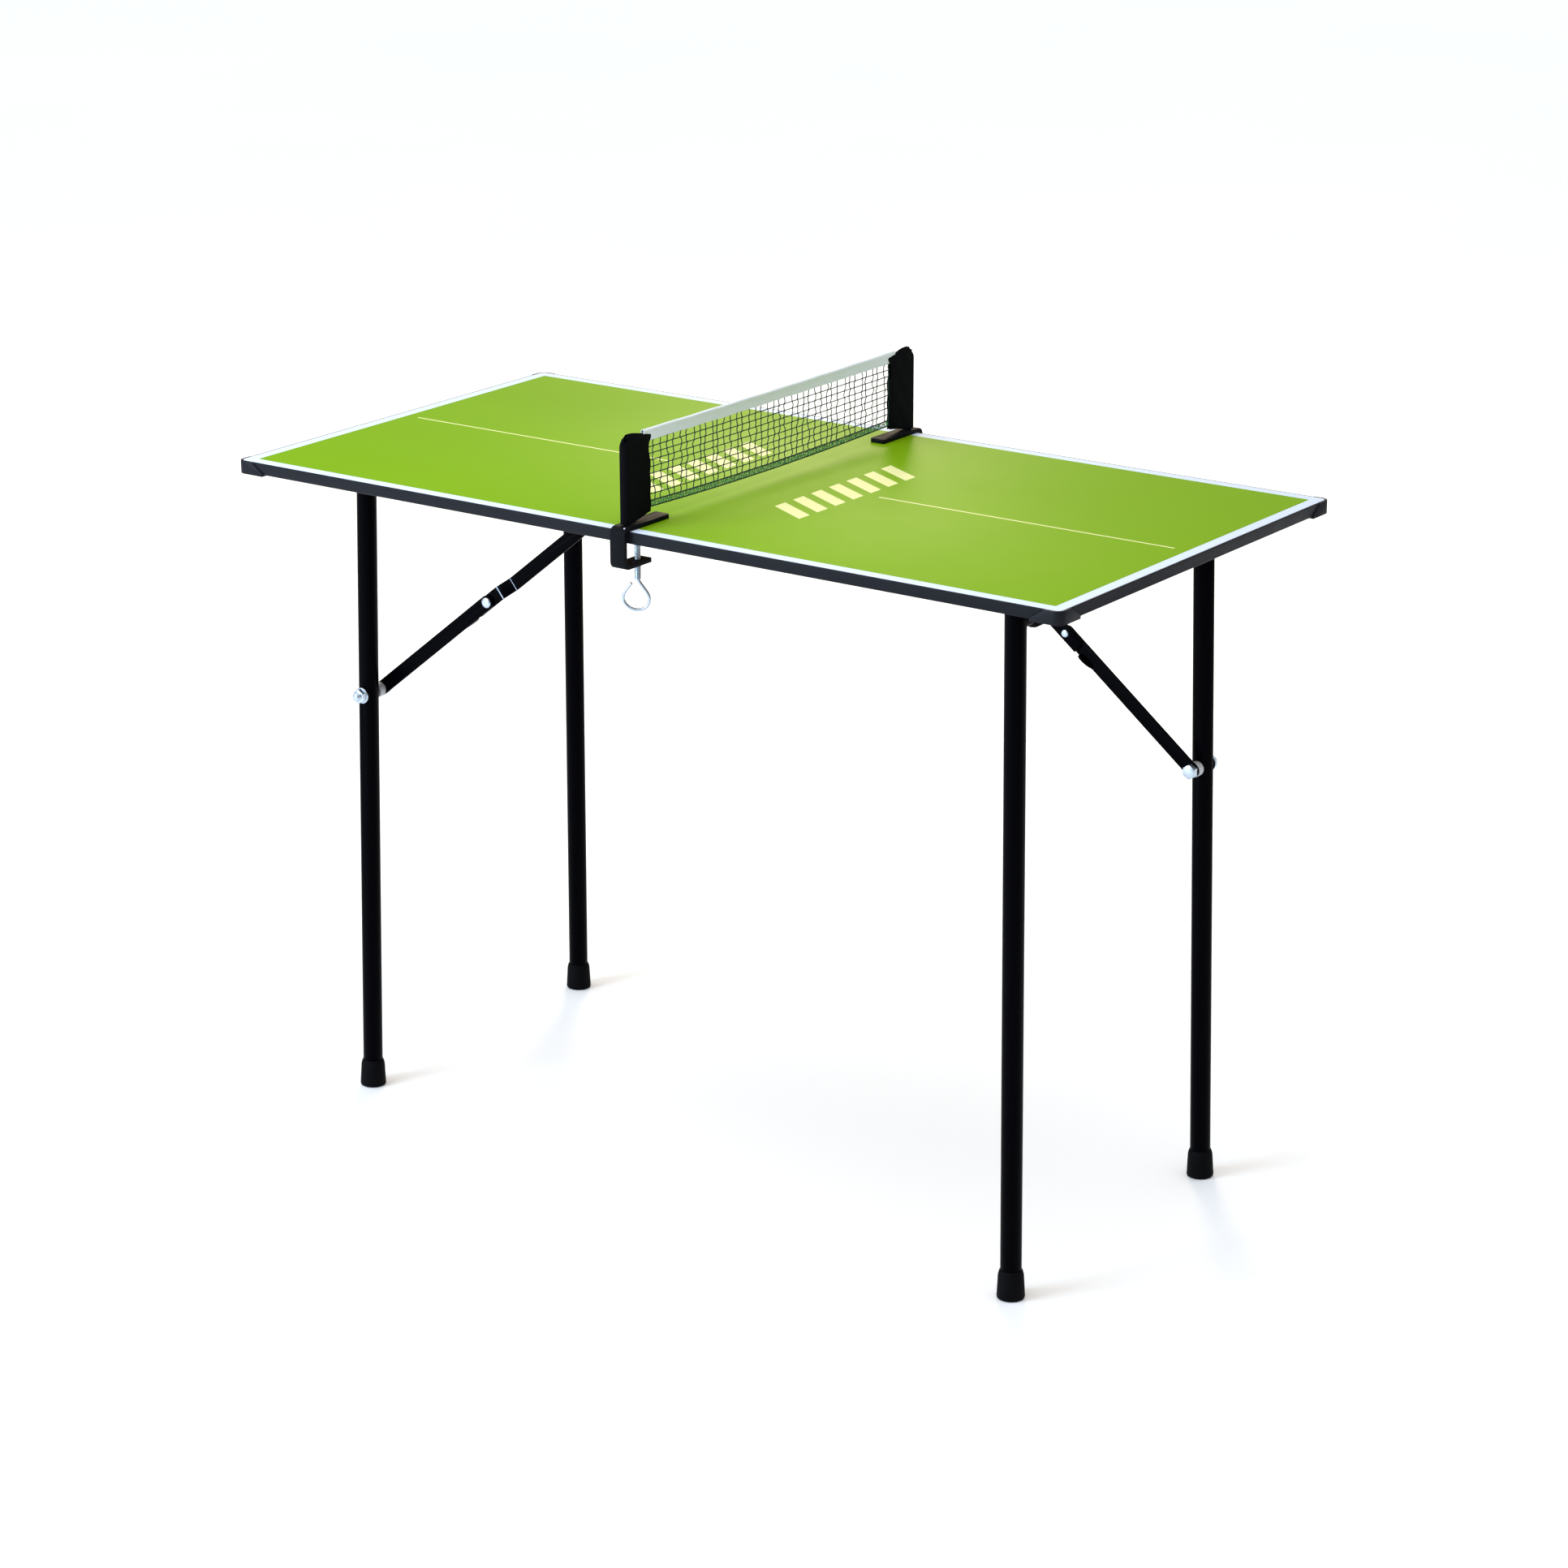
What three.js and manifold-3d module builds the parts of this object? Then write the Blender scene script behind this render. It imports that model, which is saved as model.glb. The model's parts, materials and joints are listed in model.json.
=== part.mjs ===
// A folding table-tennis table for a small room: a green board in a black rim, two leg frames
// that fold in under it on cross tubes, one jointed brace to each frame, and a net that is
// held on by two screw clamps. Millimetres, +Z up, feet on Z = 0, long side along X.
// "near" is the side at -Y, "far" at +Y, "left" at -X and "right" at +X. The right half is the
// left half turned half a turn about Z, and so is the far net clamp.
import * as THREE from 'three';
import { mergeVertices } from 'three/addons/utils/BufferGeometryUtils.js';
import Module from 'manifold-3d';

const wasm = await Module();
wasm.setup();

// Board and rim
const LENGTH = 900;
const WIDTH = 450;
const TOP_Z = 643;
const BOARD_THICKNESS = 9;
const BOARD_CORNER_RADIUS = 5;
const GAP = 0.3;
const RIM_WALL = 1.5;
const RIM_HEIGHT = 10.8;
const RIM_FLANGE = 9;
const CAP_REACH = 28;
const CAP_REACH_TOP = 14;
const CAP_WALL = 2.6;
const CAP_HEIGHT = 12.4;
const CAP_PLATE = 2.2;

// Leg frames
const TUBE_RADIUS = 9.5;
const TUBE_WALL = 1.2;
const PIVOT_X = 380.1;
const PIVOT_Z = 615;
const LEG_Y = [-129.4, 182.1];
const LEAN_X = 0.01745;
const LEAN_Y = 0.0136;
const CROSS_OVERHANG = TUBE_RADIUS + 2;
const FOOT_HEIGHT = 27;
const FOOT_FLOOR = 3;
const FOOT_RADIUS = 12.6;
const RUN_CLEARANCE = 0.4;

// Pivot blocks that carry a cross tube
const BLOCK_Y = [-98, 150];
const BLOCK_WIDTH = 16;
const BLOCK_FLANGE = 26;
const BLOCK_FLANGE_THICKNESS = 5;
const SCREW_OFFSET = 20.5;
const SCREW_RADIUS = 1.7;
const SCREW_HEAD_RADIUS = 3.9;
const SCREW_HEAD_HEIGHT = 2.2;
const SCREW_BITE = 6.5;

// Brace: bolt on the leg, knee in the middle, pivot on a bracket under the board
const BOLT_Z = 403.6;
const BRACKET_X = -138.5;
const BRACKET_Z = 600;
const BAR_HALF = 6.7;
const BAR_THICKNESS = 2.5;
const BRACE_Y = -112.15;
const LAYER_GAP = 0.15;
const JOGGLE = 8;
const JOGGLE_START = 17;
const JOGGLE_END = 31;
const TAIL = 18;
const BOLT_RADIUS = 3.9;
const HEX_RADIUS = 7;
const FLANGE_RADIUS = 7.9;
const RIVET_RADIUS = 2.5;
const HOLE_CLEARANCE = 0.35;

// Net set
const CLAMP_HALF = 8;
const CLAMP_THICKNESS = 3.8;
const CLAMP_CORNER = 2;
const CLAMP_OUTER_Y = 234;
const CLAMP_TOP_REACH = 168;
const CLAMP_LOW_REACH = 194;
const CLAMP_LOW_Z = 609;
const SCREW_Y = 205;
const SCREW_TIP_Z = 631.9;
const SCREW_LOW_Z = 593;
const SCREW_SHANK = 2.9;
const LOOP_RADIUS = 14;
const LOOP_TURN = 24;
const LOOP_WIRE = 3;
const LOOP_DROP = 15.5;
const PAD_RADIUS = 7;
const PAD_HEIGHT = 4.4;
const POST_Y = 221;
const POST_RADIUS = 3;
const SLEEVE = { from: 186.3, to: 226.5, half: 4.6, low: 648, top: 727.5 };
const NET = { end: 186, low: 654, seam: 716.8, top: 727.6, half: 0.6, tapeHalf: 1.3 };

// ---- solids -------------------------------------------------------------------------------

// A closed three.js geometry as a solid that can be joined and cut.
function solid(geometry) {
  const bare = new THREE.BufferGeometry();
  const flat = geometry.index ? geometry.toNonIndexed() : geometry;
  bare.setAttribute('position', flat.getAttribute('position').clone());
  const merged = mergeVertices(bare, 1e-4);
  const corners = merged.index.array;
  const kept = [];
  for (let i = 0; i < corners.length; i += 3) {
    const [a, b, c] = [corners[i], corners[i + 1], corners[i + 2]];
    if (a !== b && b !== c && c !== a) kept.push(a, b, c);
  }
  return new wasm.Manifold(new wasm.Mesh({
    numProp: 3,
    vertProperties: new Float32Array(merged.getAttribute('position').array),
    triVerts: new Uint32Array(kept),
  }));
}

// A solid as a flat-shaded three.js geometry.
function geometryOf(body) {
  const { vertProperties, triVerts } = body.getMesh();
  const geometry = new THREE.BufferGeometry();
  geometry.setAttribute('position', new THREE.Float32BufferAttribute(vertProperties, 3));
  geometry.setIndex([...triVerts]);
  const flat = geometry.toNonIndexed();
  flat.computeVertexNormals();
  return flat;
}

const cut = (body, ...tools) => tools.reduce((left, tool) => left.subtract(tool), body);
const join = (body, ...others) => others.reduce((left, other) => left.add(other), body);

function box(x, y, z) {
  const size = [x[1] - x[0], y[1] - y[0], z[1] - z[0]];
  const geometry = new THREE.BoxGeometry(...size);
  geometry.translate((x[0] + x[1]) / 2, (y[0] + y[1]) / 2, (z[0] + z[1]) / 2);
  return solid(geometry);
}

// A round bar, or a prism with few sides, between two points.
function rod(from, to, radius, sides = 24, turn = 0) {
  const start = new THREE.Vector3(...from);
  const along = new THREE.Vector3(...to).sub(start);
  const geometry = new THREE.CylinderGeometry(radius, radius, along.length(), sides);
  geometry.rotateY(turn);
  const up = new THREE.Vector3(0, 1, 0);
  geometry.applyQuaternion(
    new THREE.Quaternion().setFromUnitVectors(up, along.clone().normalize()));
  geometry.translate(...start.addScaledVector(along, 0.5).toArray());
  return solid(geometry);
}

// A flat outline pushed out to a thickness along its own third axis.
function slab(shape, from, to, curve = 10) {
  const geometry = new THREE.ExtrudeGeometry(shape, {
    depth: to - from, bevelEnabled: false, curveSegments: curve,
  });
  geometry.translate(0, 0, from);
  return geometry;
}

// Outlines: a bar with round ends, a box with round corners, and a polygon.
function stadium(from, to, half) {
  const shape = new THREE.Shape();
  shape.absarc(from, 0, half, Math.PI / 2, Math.PI * 1.5, false);
  shape.absarc(to, 0, half, -Math.PI / 2, Math.PI / 2, false);
  return shape;
}

function rounded(halfX, halfY, radius) {
  const shape = new THREE.Shape();
  const [x, y] = [halfX - radius, halfY - radius];
  shape.absarc(x, y, radius, 0, Math.PI / 2, false);
  shape.absarc(-x, y, radius, Math.PI / 2, Math.PI, false);
  shape.absarc(-x, -y, radius, Math.PI, Math.PI * 1.5, false);
  shape.absarc(x, -y, radius, Math.PI * 1.5, Math.PI * 2, false);
  return shape;
}

const polygon = (...points) => new THREE.Shape(points.map(([x, y]) => new THREE.Vector2(x, y)));

// A strip of constant thickness that follows a bent line, its corners eased by a radius.
function strip(line, thickness, radius, steps = 5) {
  const points = line.map(([x, y]) => new THREE.Vector2(x, y));
  const bent = [points[0]];
  for (let i = 1; i < points.length - 1; i += 1) {
    const back = points[i - 1].clone().sub(points[i]);
    const ahead = points[i + 1].clone().sub(points[i]);
    const reach = Math.min(radius, back.length() / 2.2, ahead.length() / 2.2);
    const start = points[i].clone().addScaledVector(back.normalize(), reach);
    const end = points[i].clone().addScaledVector(ahead.normalize(), reach);
    const curve = new THREE.QuadraticBezierCurve(start, points[i], end);
    bent.push(...curve.getPoints(steps));
  }
  bent.push(points[points.length - 1]);
  const other = bent.map((point, i) => {
    const before = bent[Math.max(i - 1, 0)];
    const after = bent[Math.min(i + 1, bent.length - 1)];
    const along = after.clone().sub(before).normalize();
    return point.clone().add(new THREE.Vector2(-along.y, along.x).multiplyScalar(thickness));
  });
  return new THREE.Shape([...bent, ...other.reverse()]);
}

// A profile in X and Z pushed out along Y.
function alongY(shape, from, to, curve = 12) {
  const geometry = slab(shape, -to, -from, curve);
  geometry.rotateX(Math.PI / 2);
  return solid(geometry);
}

// ---- the group ----------------------------------------------------------------------------

const paint = (color, roughness, metalness = 0) => ({ color, roughness, metalness });
const GREEN = paint(0x8dbe28, 0.34);
const BLACK_PLASTIC = paint(0x22222a, 0.5);
const BLACK_PAINT = paint(0x18181c, 0.38, 0.1);
const RUBBER = paint(0x141416, 0.8);
const ZINC = paint(0xb9bcc2, 0.3, 0.9);
const GREY_PLASTIC = paint(0xbfc2c4, 0.5);
const FABRIC = paint(0x17181c, 0.9);
const NET_CORD = paint(0x141c20, 0.9);
const WHITE_TAPE = paint(0xdfe6f0, 0.8);

const table = new THREE.Group();
table.name = 'ping_pong_table';

function add(name, body, look) {
  const material = new THREE.MeshStandardMaterial(look);
  const piece = new THREE.Mesh(geometryOf(body), material);
  piece.name = name;
  table.add(piece);
  return piece;
}

// The same solid at the left or near side, and turned half a turn at the right or far side.
const HALF_TURN = 180;
const placed = (body, turned) => (turned ? body.rotate([0, 0, HALF_TURN]) : body);

// ---- board, rim and corner caps -------------------------------------------------------------

const boardBottom = TOP_Z - BOARD_THICKNESS;
const mountZ = boardBottom - GAP;
const screwSpots = [];
for (const y of BLOCK_Y) {
  for (const side of [-1, 1]) screwSpots.push([-PIVOT_X + side * SCREW_OFFSET, y]);
}

function blindHoles(spots, radius, depth) {
  return spots.map(([x, y]) => rod([x, y, boardBottom - 1], [x, y, boardBottom + depth], radius, 12));
}

let board = solid(slab(rounded(LENGTH / 2, WIDTH / 2, BOARD_CORNER_RADIUS), boardBottom, TOP_Z, 6));
for (const turned of [false, true]) {
  const holes = blindHoles(screwSpots, SCREW_RADIUS + 0.2, SCREW_BITE + 0.4);
  board = cut(board, ...holes.map((hole) => placed(hole, turned)));
}
add('tabletop_board', board, GREEN);

// Rim profile: a thin wall outside the board's edge and a flange under it.
function rimProfile(edge) {
  const inner = edge + GAP;
  const outer = inner + RIM_WALL;
  const low = TOP_Z - RIM_HEIGHT;
  return polygon(
    [inner, TOP_Z], [inner, mountZ], [inner - RIM_FLANGE, mountZ],
    [inner - RIM_FLANGE, low], [outer - 0.7, low], [outer, low + 0.7],
    [outer, TOP_Z - 0.5], [outer - 0.5, TOP_Z]);
}

for (const [edge, half, names] of [
  [WIDTH / 2, LENGTH / 2, ['edge_trim_far', 'edge_trim_near']],
  [LENGTH / 2, WIDTH / 2, ['edge_trim_right', 'edge_trim_left']],
]) {
  const low = half - CAP_REACH - GAP;
  const high = half - CAP_REACH_TOP - GAP;
  const ends = slab(polygon(
    [-low, TOP_Z - RIM_HEIGHT], [low, TOP_Z - RIM_HEIGHT], [low, mountZ], [high, TOP_Z],
    [-high, TOP_Z], [-low, mountZ]),
  edge - 20, edge + 20);
  ends.rotateX(Math.PI / 2);
  ends.rotateZ(Math.PI / 2);
  const bar = alongY(rimProfile(edge), -half, half).intersect(solid(ends));
  const faced = edge < half ? bar.rotate([0, 0, 90]) : bar;
  names.forEach((name, i) => add(name, placed(faced, i === 1), BLACK_PLASTIC));
}

// Corner cap: a wall round the corner and a plate under it, with slanted joints to the rim.
{
  const [x, y] = [LENGTH / 2 + GAP + CAP_WALL, WIDTH / 2 + GAP + CAP_WALL];
  const low = TOP_Z - CAP_HEIGHT;
  const shell = solid(slab(rounded(x, y, BOARD_CORNER_RADIUS + CAP_WALL + 1), low, TOP_Z, 8));
  const pocket = solid(slab(
    rounded(LENGTH / 2 + GAP, WIDTH / 2 + GAP, BOARD_CORNER_RADIUS), low + CAP_PLATE, TOP_Z + 1, 6));
  const corner = box([LENGTH / 2 - CAP_REACH, x + 1], [WIDTH / 2 - CAP_REACH, y + 1], [low - 1, TOP_Z + 1]);
  const inside = solid(slab(polygon(
    [LENGTH / 2 - CAP_REACH - 1, WIDTH / 2 - CAP_REACH - 1], [LENGTH / 2 - 12, WIDTH / 2 - CAP_REACH - 1],
    [LENGTH / 2 - 12, WIDTH / 2 - 20], [LENGTH / 2 - 20, WIDTH / 2 - 12],
    [LENGTH / 2 - CAP_REACH - 1, WIDTH / 2 - 12]), low - 1, TOP_Z));
  const rimLow = TOP_Z - RIM_HEIGHT - GAP;
  const slant = (half, from, to) => {
    const side = slab(polygon(
      [half - CAP_REACH - 20, rimLow], [half - CAP_REACH, rimLow], [half - CAP_REACH, mountZ],
      [half - CAP_REACH_TOP, TOP_Z], [half - CAP_REACH_TOP, TOP_Z + 2],
      [half - CAP_REACH - 20, TOP_Z + 2]), from, to);
    side.rotateX(Math.PI / 2);
    return side;
  };
  const overFar = slant(LENGTH / 2, -20, 0.3);
  overFar.translate(0, WIDTH / 2, 0);
  const overRight = slant(WIDTH / 2, -0.3, 20);
  overRight.rotateZ(Math.PI / 2);
  overRight.translate(LENGTH / 2, 0, 0);
  const cap = cut(shell, pocket, inside, solid(overFar), solid(overRight)).intersect(corner);
  const mirrored = cap.mirror([1, 0, 0]);
  add('corner_cap_right_far', cap, BLACK_PLASTIC);
  add('corner_cap_left_near', placed(cap, true), BLACK_PLASTIC);
  add('corner_cap_left_far', mirrored, BLACK_PLASTIC);
  add('corner_cap_right_near', placed(mirrored, true), BLACK_PLASTIC);
}

// ---- leg frames -----------------------------------------------------------------------------

const lean = (x, y, z, outward) => {
  const drop = PIVOT_Z - z;
  return [x - LEAN_X * drop, y + outward * LEAN_Y * drop, z];
};
const sides = [
  { name: 'left', turned: false, ends: ['near', 'far'] },
  { name: 'right', turned: true, ends: ['far', 'near'] },
];
const crossTube = (radius, reach = CROSS_OVERHANG) => rod(
  [-PIVOT_X, LEG_Y[0] - reach, PIVOT_Z], [-PIVOT_X, LEG_Y[1] + reach, PIVOT_Z], radius, 28);
const boltLine = lean(-PIVOT_X, LEG_Y[0], BOLT_Z, -1);
const alongBolt = (from, to, radius, count = 18, turn = 0) => rod(
  [boltLine[0], from, BOLT_Z], [boltLine[0], to, BOLT_Z], radius, count, turn);
const tubeFace = boltLine[1] + TUBE_RADIUS;
const tubeBack = boltLine[1] - TUBE_RADIUS;
const lowerOuter = BRACE_Y - LAYER_GAP - BAR_THICKNESS;

// A block on one side of the mitre between a leg and its cross tube: 1 is the cross tube's side.
function mitreBlock(y, outward, side) {
  const geometry = new THREE.BoxGeometry(60, 90, 40);
  geometry.translate(0, 0, side * (20 - GAP / 2));
  geometry.rotateX(outward * Math.PI / 4);
  geometry.translate(-PIVOT_X, y, PIVOT_Z);
  return solid(geometry);
}

function legTube(y, outward, drilled) {
  const foot = lean(-PIVOT_X, y, FOOT_FLOOR + GAP, outward);
  const beyond = lean(-PIVOT_X, y, -20, outward);
  const above = lean(-PIVOT_X, y, PIVOT_Z + 20, outward);
  let leg = cut(
    rod(above, foot, TUBE_RADIUS, 32), rod(above, beyond, TUBE_RADIUS - TUBE_WALL, 24),
    mitreBlock(y, outward, 1));
  if (drilled) leg = cut(leg, alongBolt(tubeBack - 5, tubeFace + 5, BOLT_RADIUS + HOLE_CLEARANCE));
  return leg;
}

// Foot: a tapered cap with a flat floor face, made upright and then set on the leaning leg.
function foot(y, outward) {
  const profile = [
    [0, -1.2], [FOOT_RADIUS - 2, -1.2], [FOOT_RADIUS - 2, 0], [FOOT_RADIUS - 0.6, 0.6],
    [FOOT_RADIUS, 2], [FOOT_RADIUS - 1.1, 22], [FOOT_RADIUS - 1.7, 24.6], [FOOT_RADIUS - 2.3, 26.2],
    [TUBE_RADIUS + 0.3, FOOT_HEIGHT], [TUBE_RADIUS + 0.3, FOOT_FLOOR], [0, FOOT_FLOOR],
  ].map(([r, h]) => new THREE.Vector2(r, h));
  const geometry = new THREE.LatheGeometry(profile, 32);
  const floor = lean(-PIVOT_X, y, 0, outward);
  const axis = new THREE.Vector3(-PIVOT_X, y, PIVOT_Z).sub(new THREE.Vector3(...floor)).normalize();
  geometry.applyQuaternion(new THREE.Quaternion().setFromUnitVectors(new THREE.Vector3(0, 1, 0), axis));
  geometry.translate(...floor);
  const below = box([floor[0] - 30, floor[0] + 30], [floor[1] - 30, floor[1] + 30], [-10, 0]);
  return cut(solid(geometry), below);
}

function pivotBlock(y) {
  const body = new THREE.Shape();
  const low = mountZ - BLOCK_FLANGE_THICKNESS;
  const round = TUBE_RADIUS + RUN_CLEARANCE + 3.2;
  body.moveTo(-BLOCK_FLANGE, mountZ);
  body.lineTo(-BLOCK_FLANGE, low);
  body.lineTo(-round - 1.5, low);
  body.lineTo(-round, PIVOT_Z);
  body.absarc(0, PIVOT_Z, round, Math.PI, Math.PI * 2, false);
  body.lineTo(round + 1.5, low);
  body.lineTo(BLOCK_FLANGE, low);
  body.lineTo(BLOCK_FLANGE, mountZ);
  const made = alongY(body, y - BLOCK_WIDTH / 2, y + BLOCK_WIDTH / 2).translate([-PIVOT_X, 0, 0]);
  const holes = [-1, 1].map((side) => rod(
    [-PIVOT_X + side * SCREW_OFFSET, y, low - 1], [-PIVOT_X + side * SCREW_OFFSET, y, mountZ + 1],
    SCREW_RADIUS + 0.3, 12));
  return cut(made, crossTube(TUBE_RADIUS + RUN_CLEARANCE), ...holes);
}

function woodScrew(x, y, seat) {
  const head = new THREE.LatheGeometry([
    [0, 0], [2.2, 0.1], [3.3, 0.7], [SCREW_HEAD_RADIUS, 1.7], [SCREW_HEAD_RADIUS, SCREW_HEAD_HEIGHT],
    [SCREW_RADIUS, SCREW_HEAD_HEIGHT], [SCREW_RADIUS, SCREW_HEAD_HEIGHT + 9], [0, SCREW_HEAD_HEIGHT + 11.2],
  ].map(([r, h]) => new THREE.Vector2(r, h)), 14);
  head.rotateX(Math.PI / 2);
  head.translate(x, y, seat - GAP - SCREW_HEAD_HEIGHT);
  return solid(head);
}

// ---- brace ----------------------------------------------------------------------------------

// The brace is straight when open and folds flat onto the line from cross tube to bracket.
const pivot = new THREE.Vector2(-PIVOT_X, PIVOT_Z);
const bolt = new THREE.Vector2(boltLine[0], BOLT_Z);
const bracket = new THREE.Vector2(BRACKET_X, BRACKET_Z);
const openSpan = bracket.distanceTo(bolt);
const foldedSpan = bracket.distanceTo(pivot) - bolt.distanceTo(pivot);
const LOWER_LENGTH = (openSpan + foldedSpan) / 2;
const UPPER_LENGTH = (openSpan - foldedSpan) / 2;
const along = bracket.clone().sub(bolt).normalize();
const knee = bolt.clone().addScaledVector(along, LOWER_LENGTH);

// Brace coordinates: x from knee to bracket, y up and towards the leg, z out towards the near side.
const braceFrame = new THREE.Matrix4().makeBasis(
  new THREE.Vector3(along.x, 0, along.y), new THREE.Vector3(-along.y, 0, along.x),
  new THREE.Vector3(0, -1, 0)).setPosition(knee.x, BRACE_Y, knee.y);
function inBrace(geometry) {
  geometry.applyMatrix4(braceFrame);
  return solid(geometry);
}
const bracePin = (x, from, to, radius, count = 18) => {
  const geometry = new THREE.CylinderGeometry(radius, radius, to - from, count);
  geometry.rotateX(Math.PI / 2);
  geometry.translate(x, 0, (from + to) / 2);
  return inBrace(geometry);
};

function lowerLink() {
  const bar = inBrace(slab(stadium(-LOWER_LENGTH, 0, BAR_HALF), LAYER_GAP, LAYER_GAP + BAR_THICKNESS, 12));
  return cut(
    bar, bracePin(0, -1, 4, RIVET_RADIUS + HOLE_CLEARANCE),
    bracePin(-LOWER_LENGTH, -1, 4, BOLT_RADIUS + HOLE_CLEARANCE));
}

// The upper link is a bent strip trimmed to a bar outline, with a short tail past the knee.
function upperLink() {
  const face = -LAYER_GAP - BAR_THICKNESS;
  const bend = slab(strip([
    [-TAIL - 9, face], [JOGGLE_START, face], [JOGGLE_END, face - JOGGLE],
    [UPPER_LENGTH + 12, face - JOGGLE]], BAR_THICKNESS, 4), -20, 20);
  bend.rotateX(Math.PI / 2);
  const outline = join(
    inBrace(slab(stadium(0, UPPER_LENGTH, BAR_HALF), -20, 5, 12)),
    inBrace(slab(polygon(
      [0, BAR_HALF - 0.02], [-TAIL + 3, BAR_HALF - 0.02], [-TAIL, BAR_HALF - 3], [-TAIL, -BAR_HALF + 0.02],
      [0, -BAR_HALF + 0.02]), -20, 5)));
  const upset = bracePin(0, face - 1.6, face + 1, 3.6, 20);
  const link = join(inBrace(bend).intersect(outline), upset);
  return cut(link, bracePin(UPPER_LENGTH, -20, 5, RIVET_RADIUS + HOLE_CLEARANCE));
}

function kneeRivet() {
  const outer = LAYER_GAP + BAR_THICKNESS;
  return join(
    bracePin(0, LAYER_GAP, outer + 0.5, RIVET_RADIUS),
    bracePin(0, outer + GAP / 2, outer + 2, 5.2, 24));
}

const joggledFace = BRACE_Y + LAYER_GAP + JOGGLE + BAR_THICKNESS;
function braceBracket() {
  const inner = joggledFace + GAP;
  const plate = box([BRACKET_X - 21, BRACKET_X + 21], [inner, inner + 24], [mountZ - 2, mountZ]);
  const ear = alongY(polygon(
    [BRACKET_X - 17, mountZ - 0.5], [BRACKET_X - 9, BRACKET_Z], [BRACKET_X - 6.4, BRACKET_Z - 6.4],
    [BRACKET_X, BRACKET_Z - 9], [BRACKET_X + 6.4, BRACKET_Z - 6.4], [BRACKET_X + 9, BRACKET_Z],
    [BRACKET_X + 17, mountZ - 0.5]), inner, inner + 2);
  return cut(join(plate, ear), rod(
    [BRACKET_X, inner - 1, BRACKET_Z], [BRACKET_X, inner + 3, BRACKET_Z], RIVET_RADIUS + HOLE_CLEARANCE, 18));
}

function bracketRivet() {
  const low = joggledFace - BAR_THICKNESS - GAP;
  const high = joggledFace + GAP + 2 + GAP;
  const at = (from, to, radius) => rod([BRACKET_X, from, BRACKET_Z], [BRACKET_X, to, BRACKET_Z], radius, 20);
  return join(at(low - 1, high + 1, RIVET_RADIUS), at(low - 1.6, low, 4.4), at(high, high + 1.8, 5.2));
}

for (const { name, turned, ends } of sides) {
  add(`crossbar_${name}`, placed(cut(
    crossTube(TUBE_RADIUS), crossTube(TUBE_RADIUS - TUBE_WALL, CROSS_OVERHANG + 1),
    mitreBlock(LEG_Y[0], -1, -1), mitreBlock(LEG_Y[1], 1, -1)), turned), BLACK_PAINT);
  ends.forEach((end, i) => {
    const outward = i === 0 ? -1 : 1;
    add(`leg_tube_${name}_${end}`, placed(legTube(LEG_Y[i], outward, i === 0), turned), BLACK_PAINT);
    add(`foot_${name}_${end}`, placed(foot(LEG_Y[i], outward), turned), RUBBER);
    add(`pivot_block_${name}_${end}`, placed(pivotBlock(BLOCK_Y[i]), turned), BLACK_PLASTIC);
  });
  screwSpots.forEach(([x, y], i) => add(
    `block_screw_${name}_${i + 1}`,
    placed(woodScrew(x, y, mountZ - BLOCK_FLANGE_THICKNESS), turned), ZINC));
  add(`brace_bolt_${name}`, placed(join(
    alongBolt(tubeBack - 11, BRACE_Y + 1, BOLT_RADIUS),
    alongBolt(BRACE_Y + LAYER_GAP, BRACE_Y + LAYER_GAP + 5.2, HEX_RADIUS, 6)), turned), ZINC);
  add(`brace_nut_${name}`, placed(cut(
    join(
      alongBolt(tubeBack - GAP - 6, tubeBack - GAP, HEX_RADIUS, 6, Math.PI / 6),
      alongBolt(tubeBack - GAP - 1.4, tubeBack - GAP, FLANGE_RADIUS, 28)),
    alongBolt(tubeBack - 9, tubeBack + 1, BOLT_RADIUS + GAP)), turned), ZINC);
  add(`brace_spacer_${name}`, placed(cut(
    alongBolt(tubeFace + GAP, lowerOuter - GAP, 7, 28),
    alongBolt(tubeFace - 1, lowerOuter + 1, BOLT_RADIUS + GAP)), turned), GREY_PLASTIC);
  add(`brace_lower_${name}`, placed(lowerLink(), turned), BLACK_PAINT);
  add(`brace_upper_${name}`, placed(upperLink(), turned), BLACK_PAINT);
  add(`knee_rivet_${name}`, placed(kneeRivet(), turned), ZINC);
  add(`brace_bracket_${name}`, placed(braceBracket(), turned), BLACK_PAINT);
  add(`bracket_rivet_${name}`, placed(bracketRivet(), turned), ZINC);
}

// ---- net set --------------------------------------------------------------------------------

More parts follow.
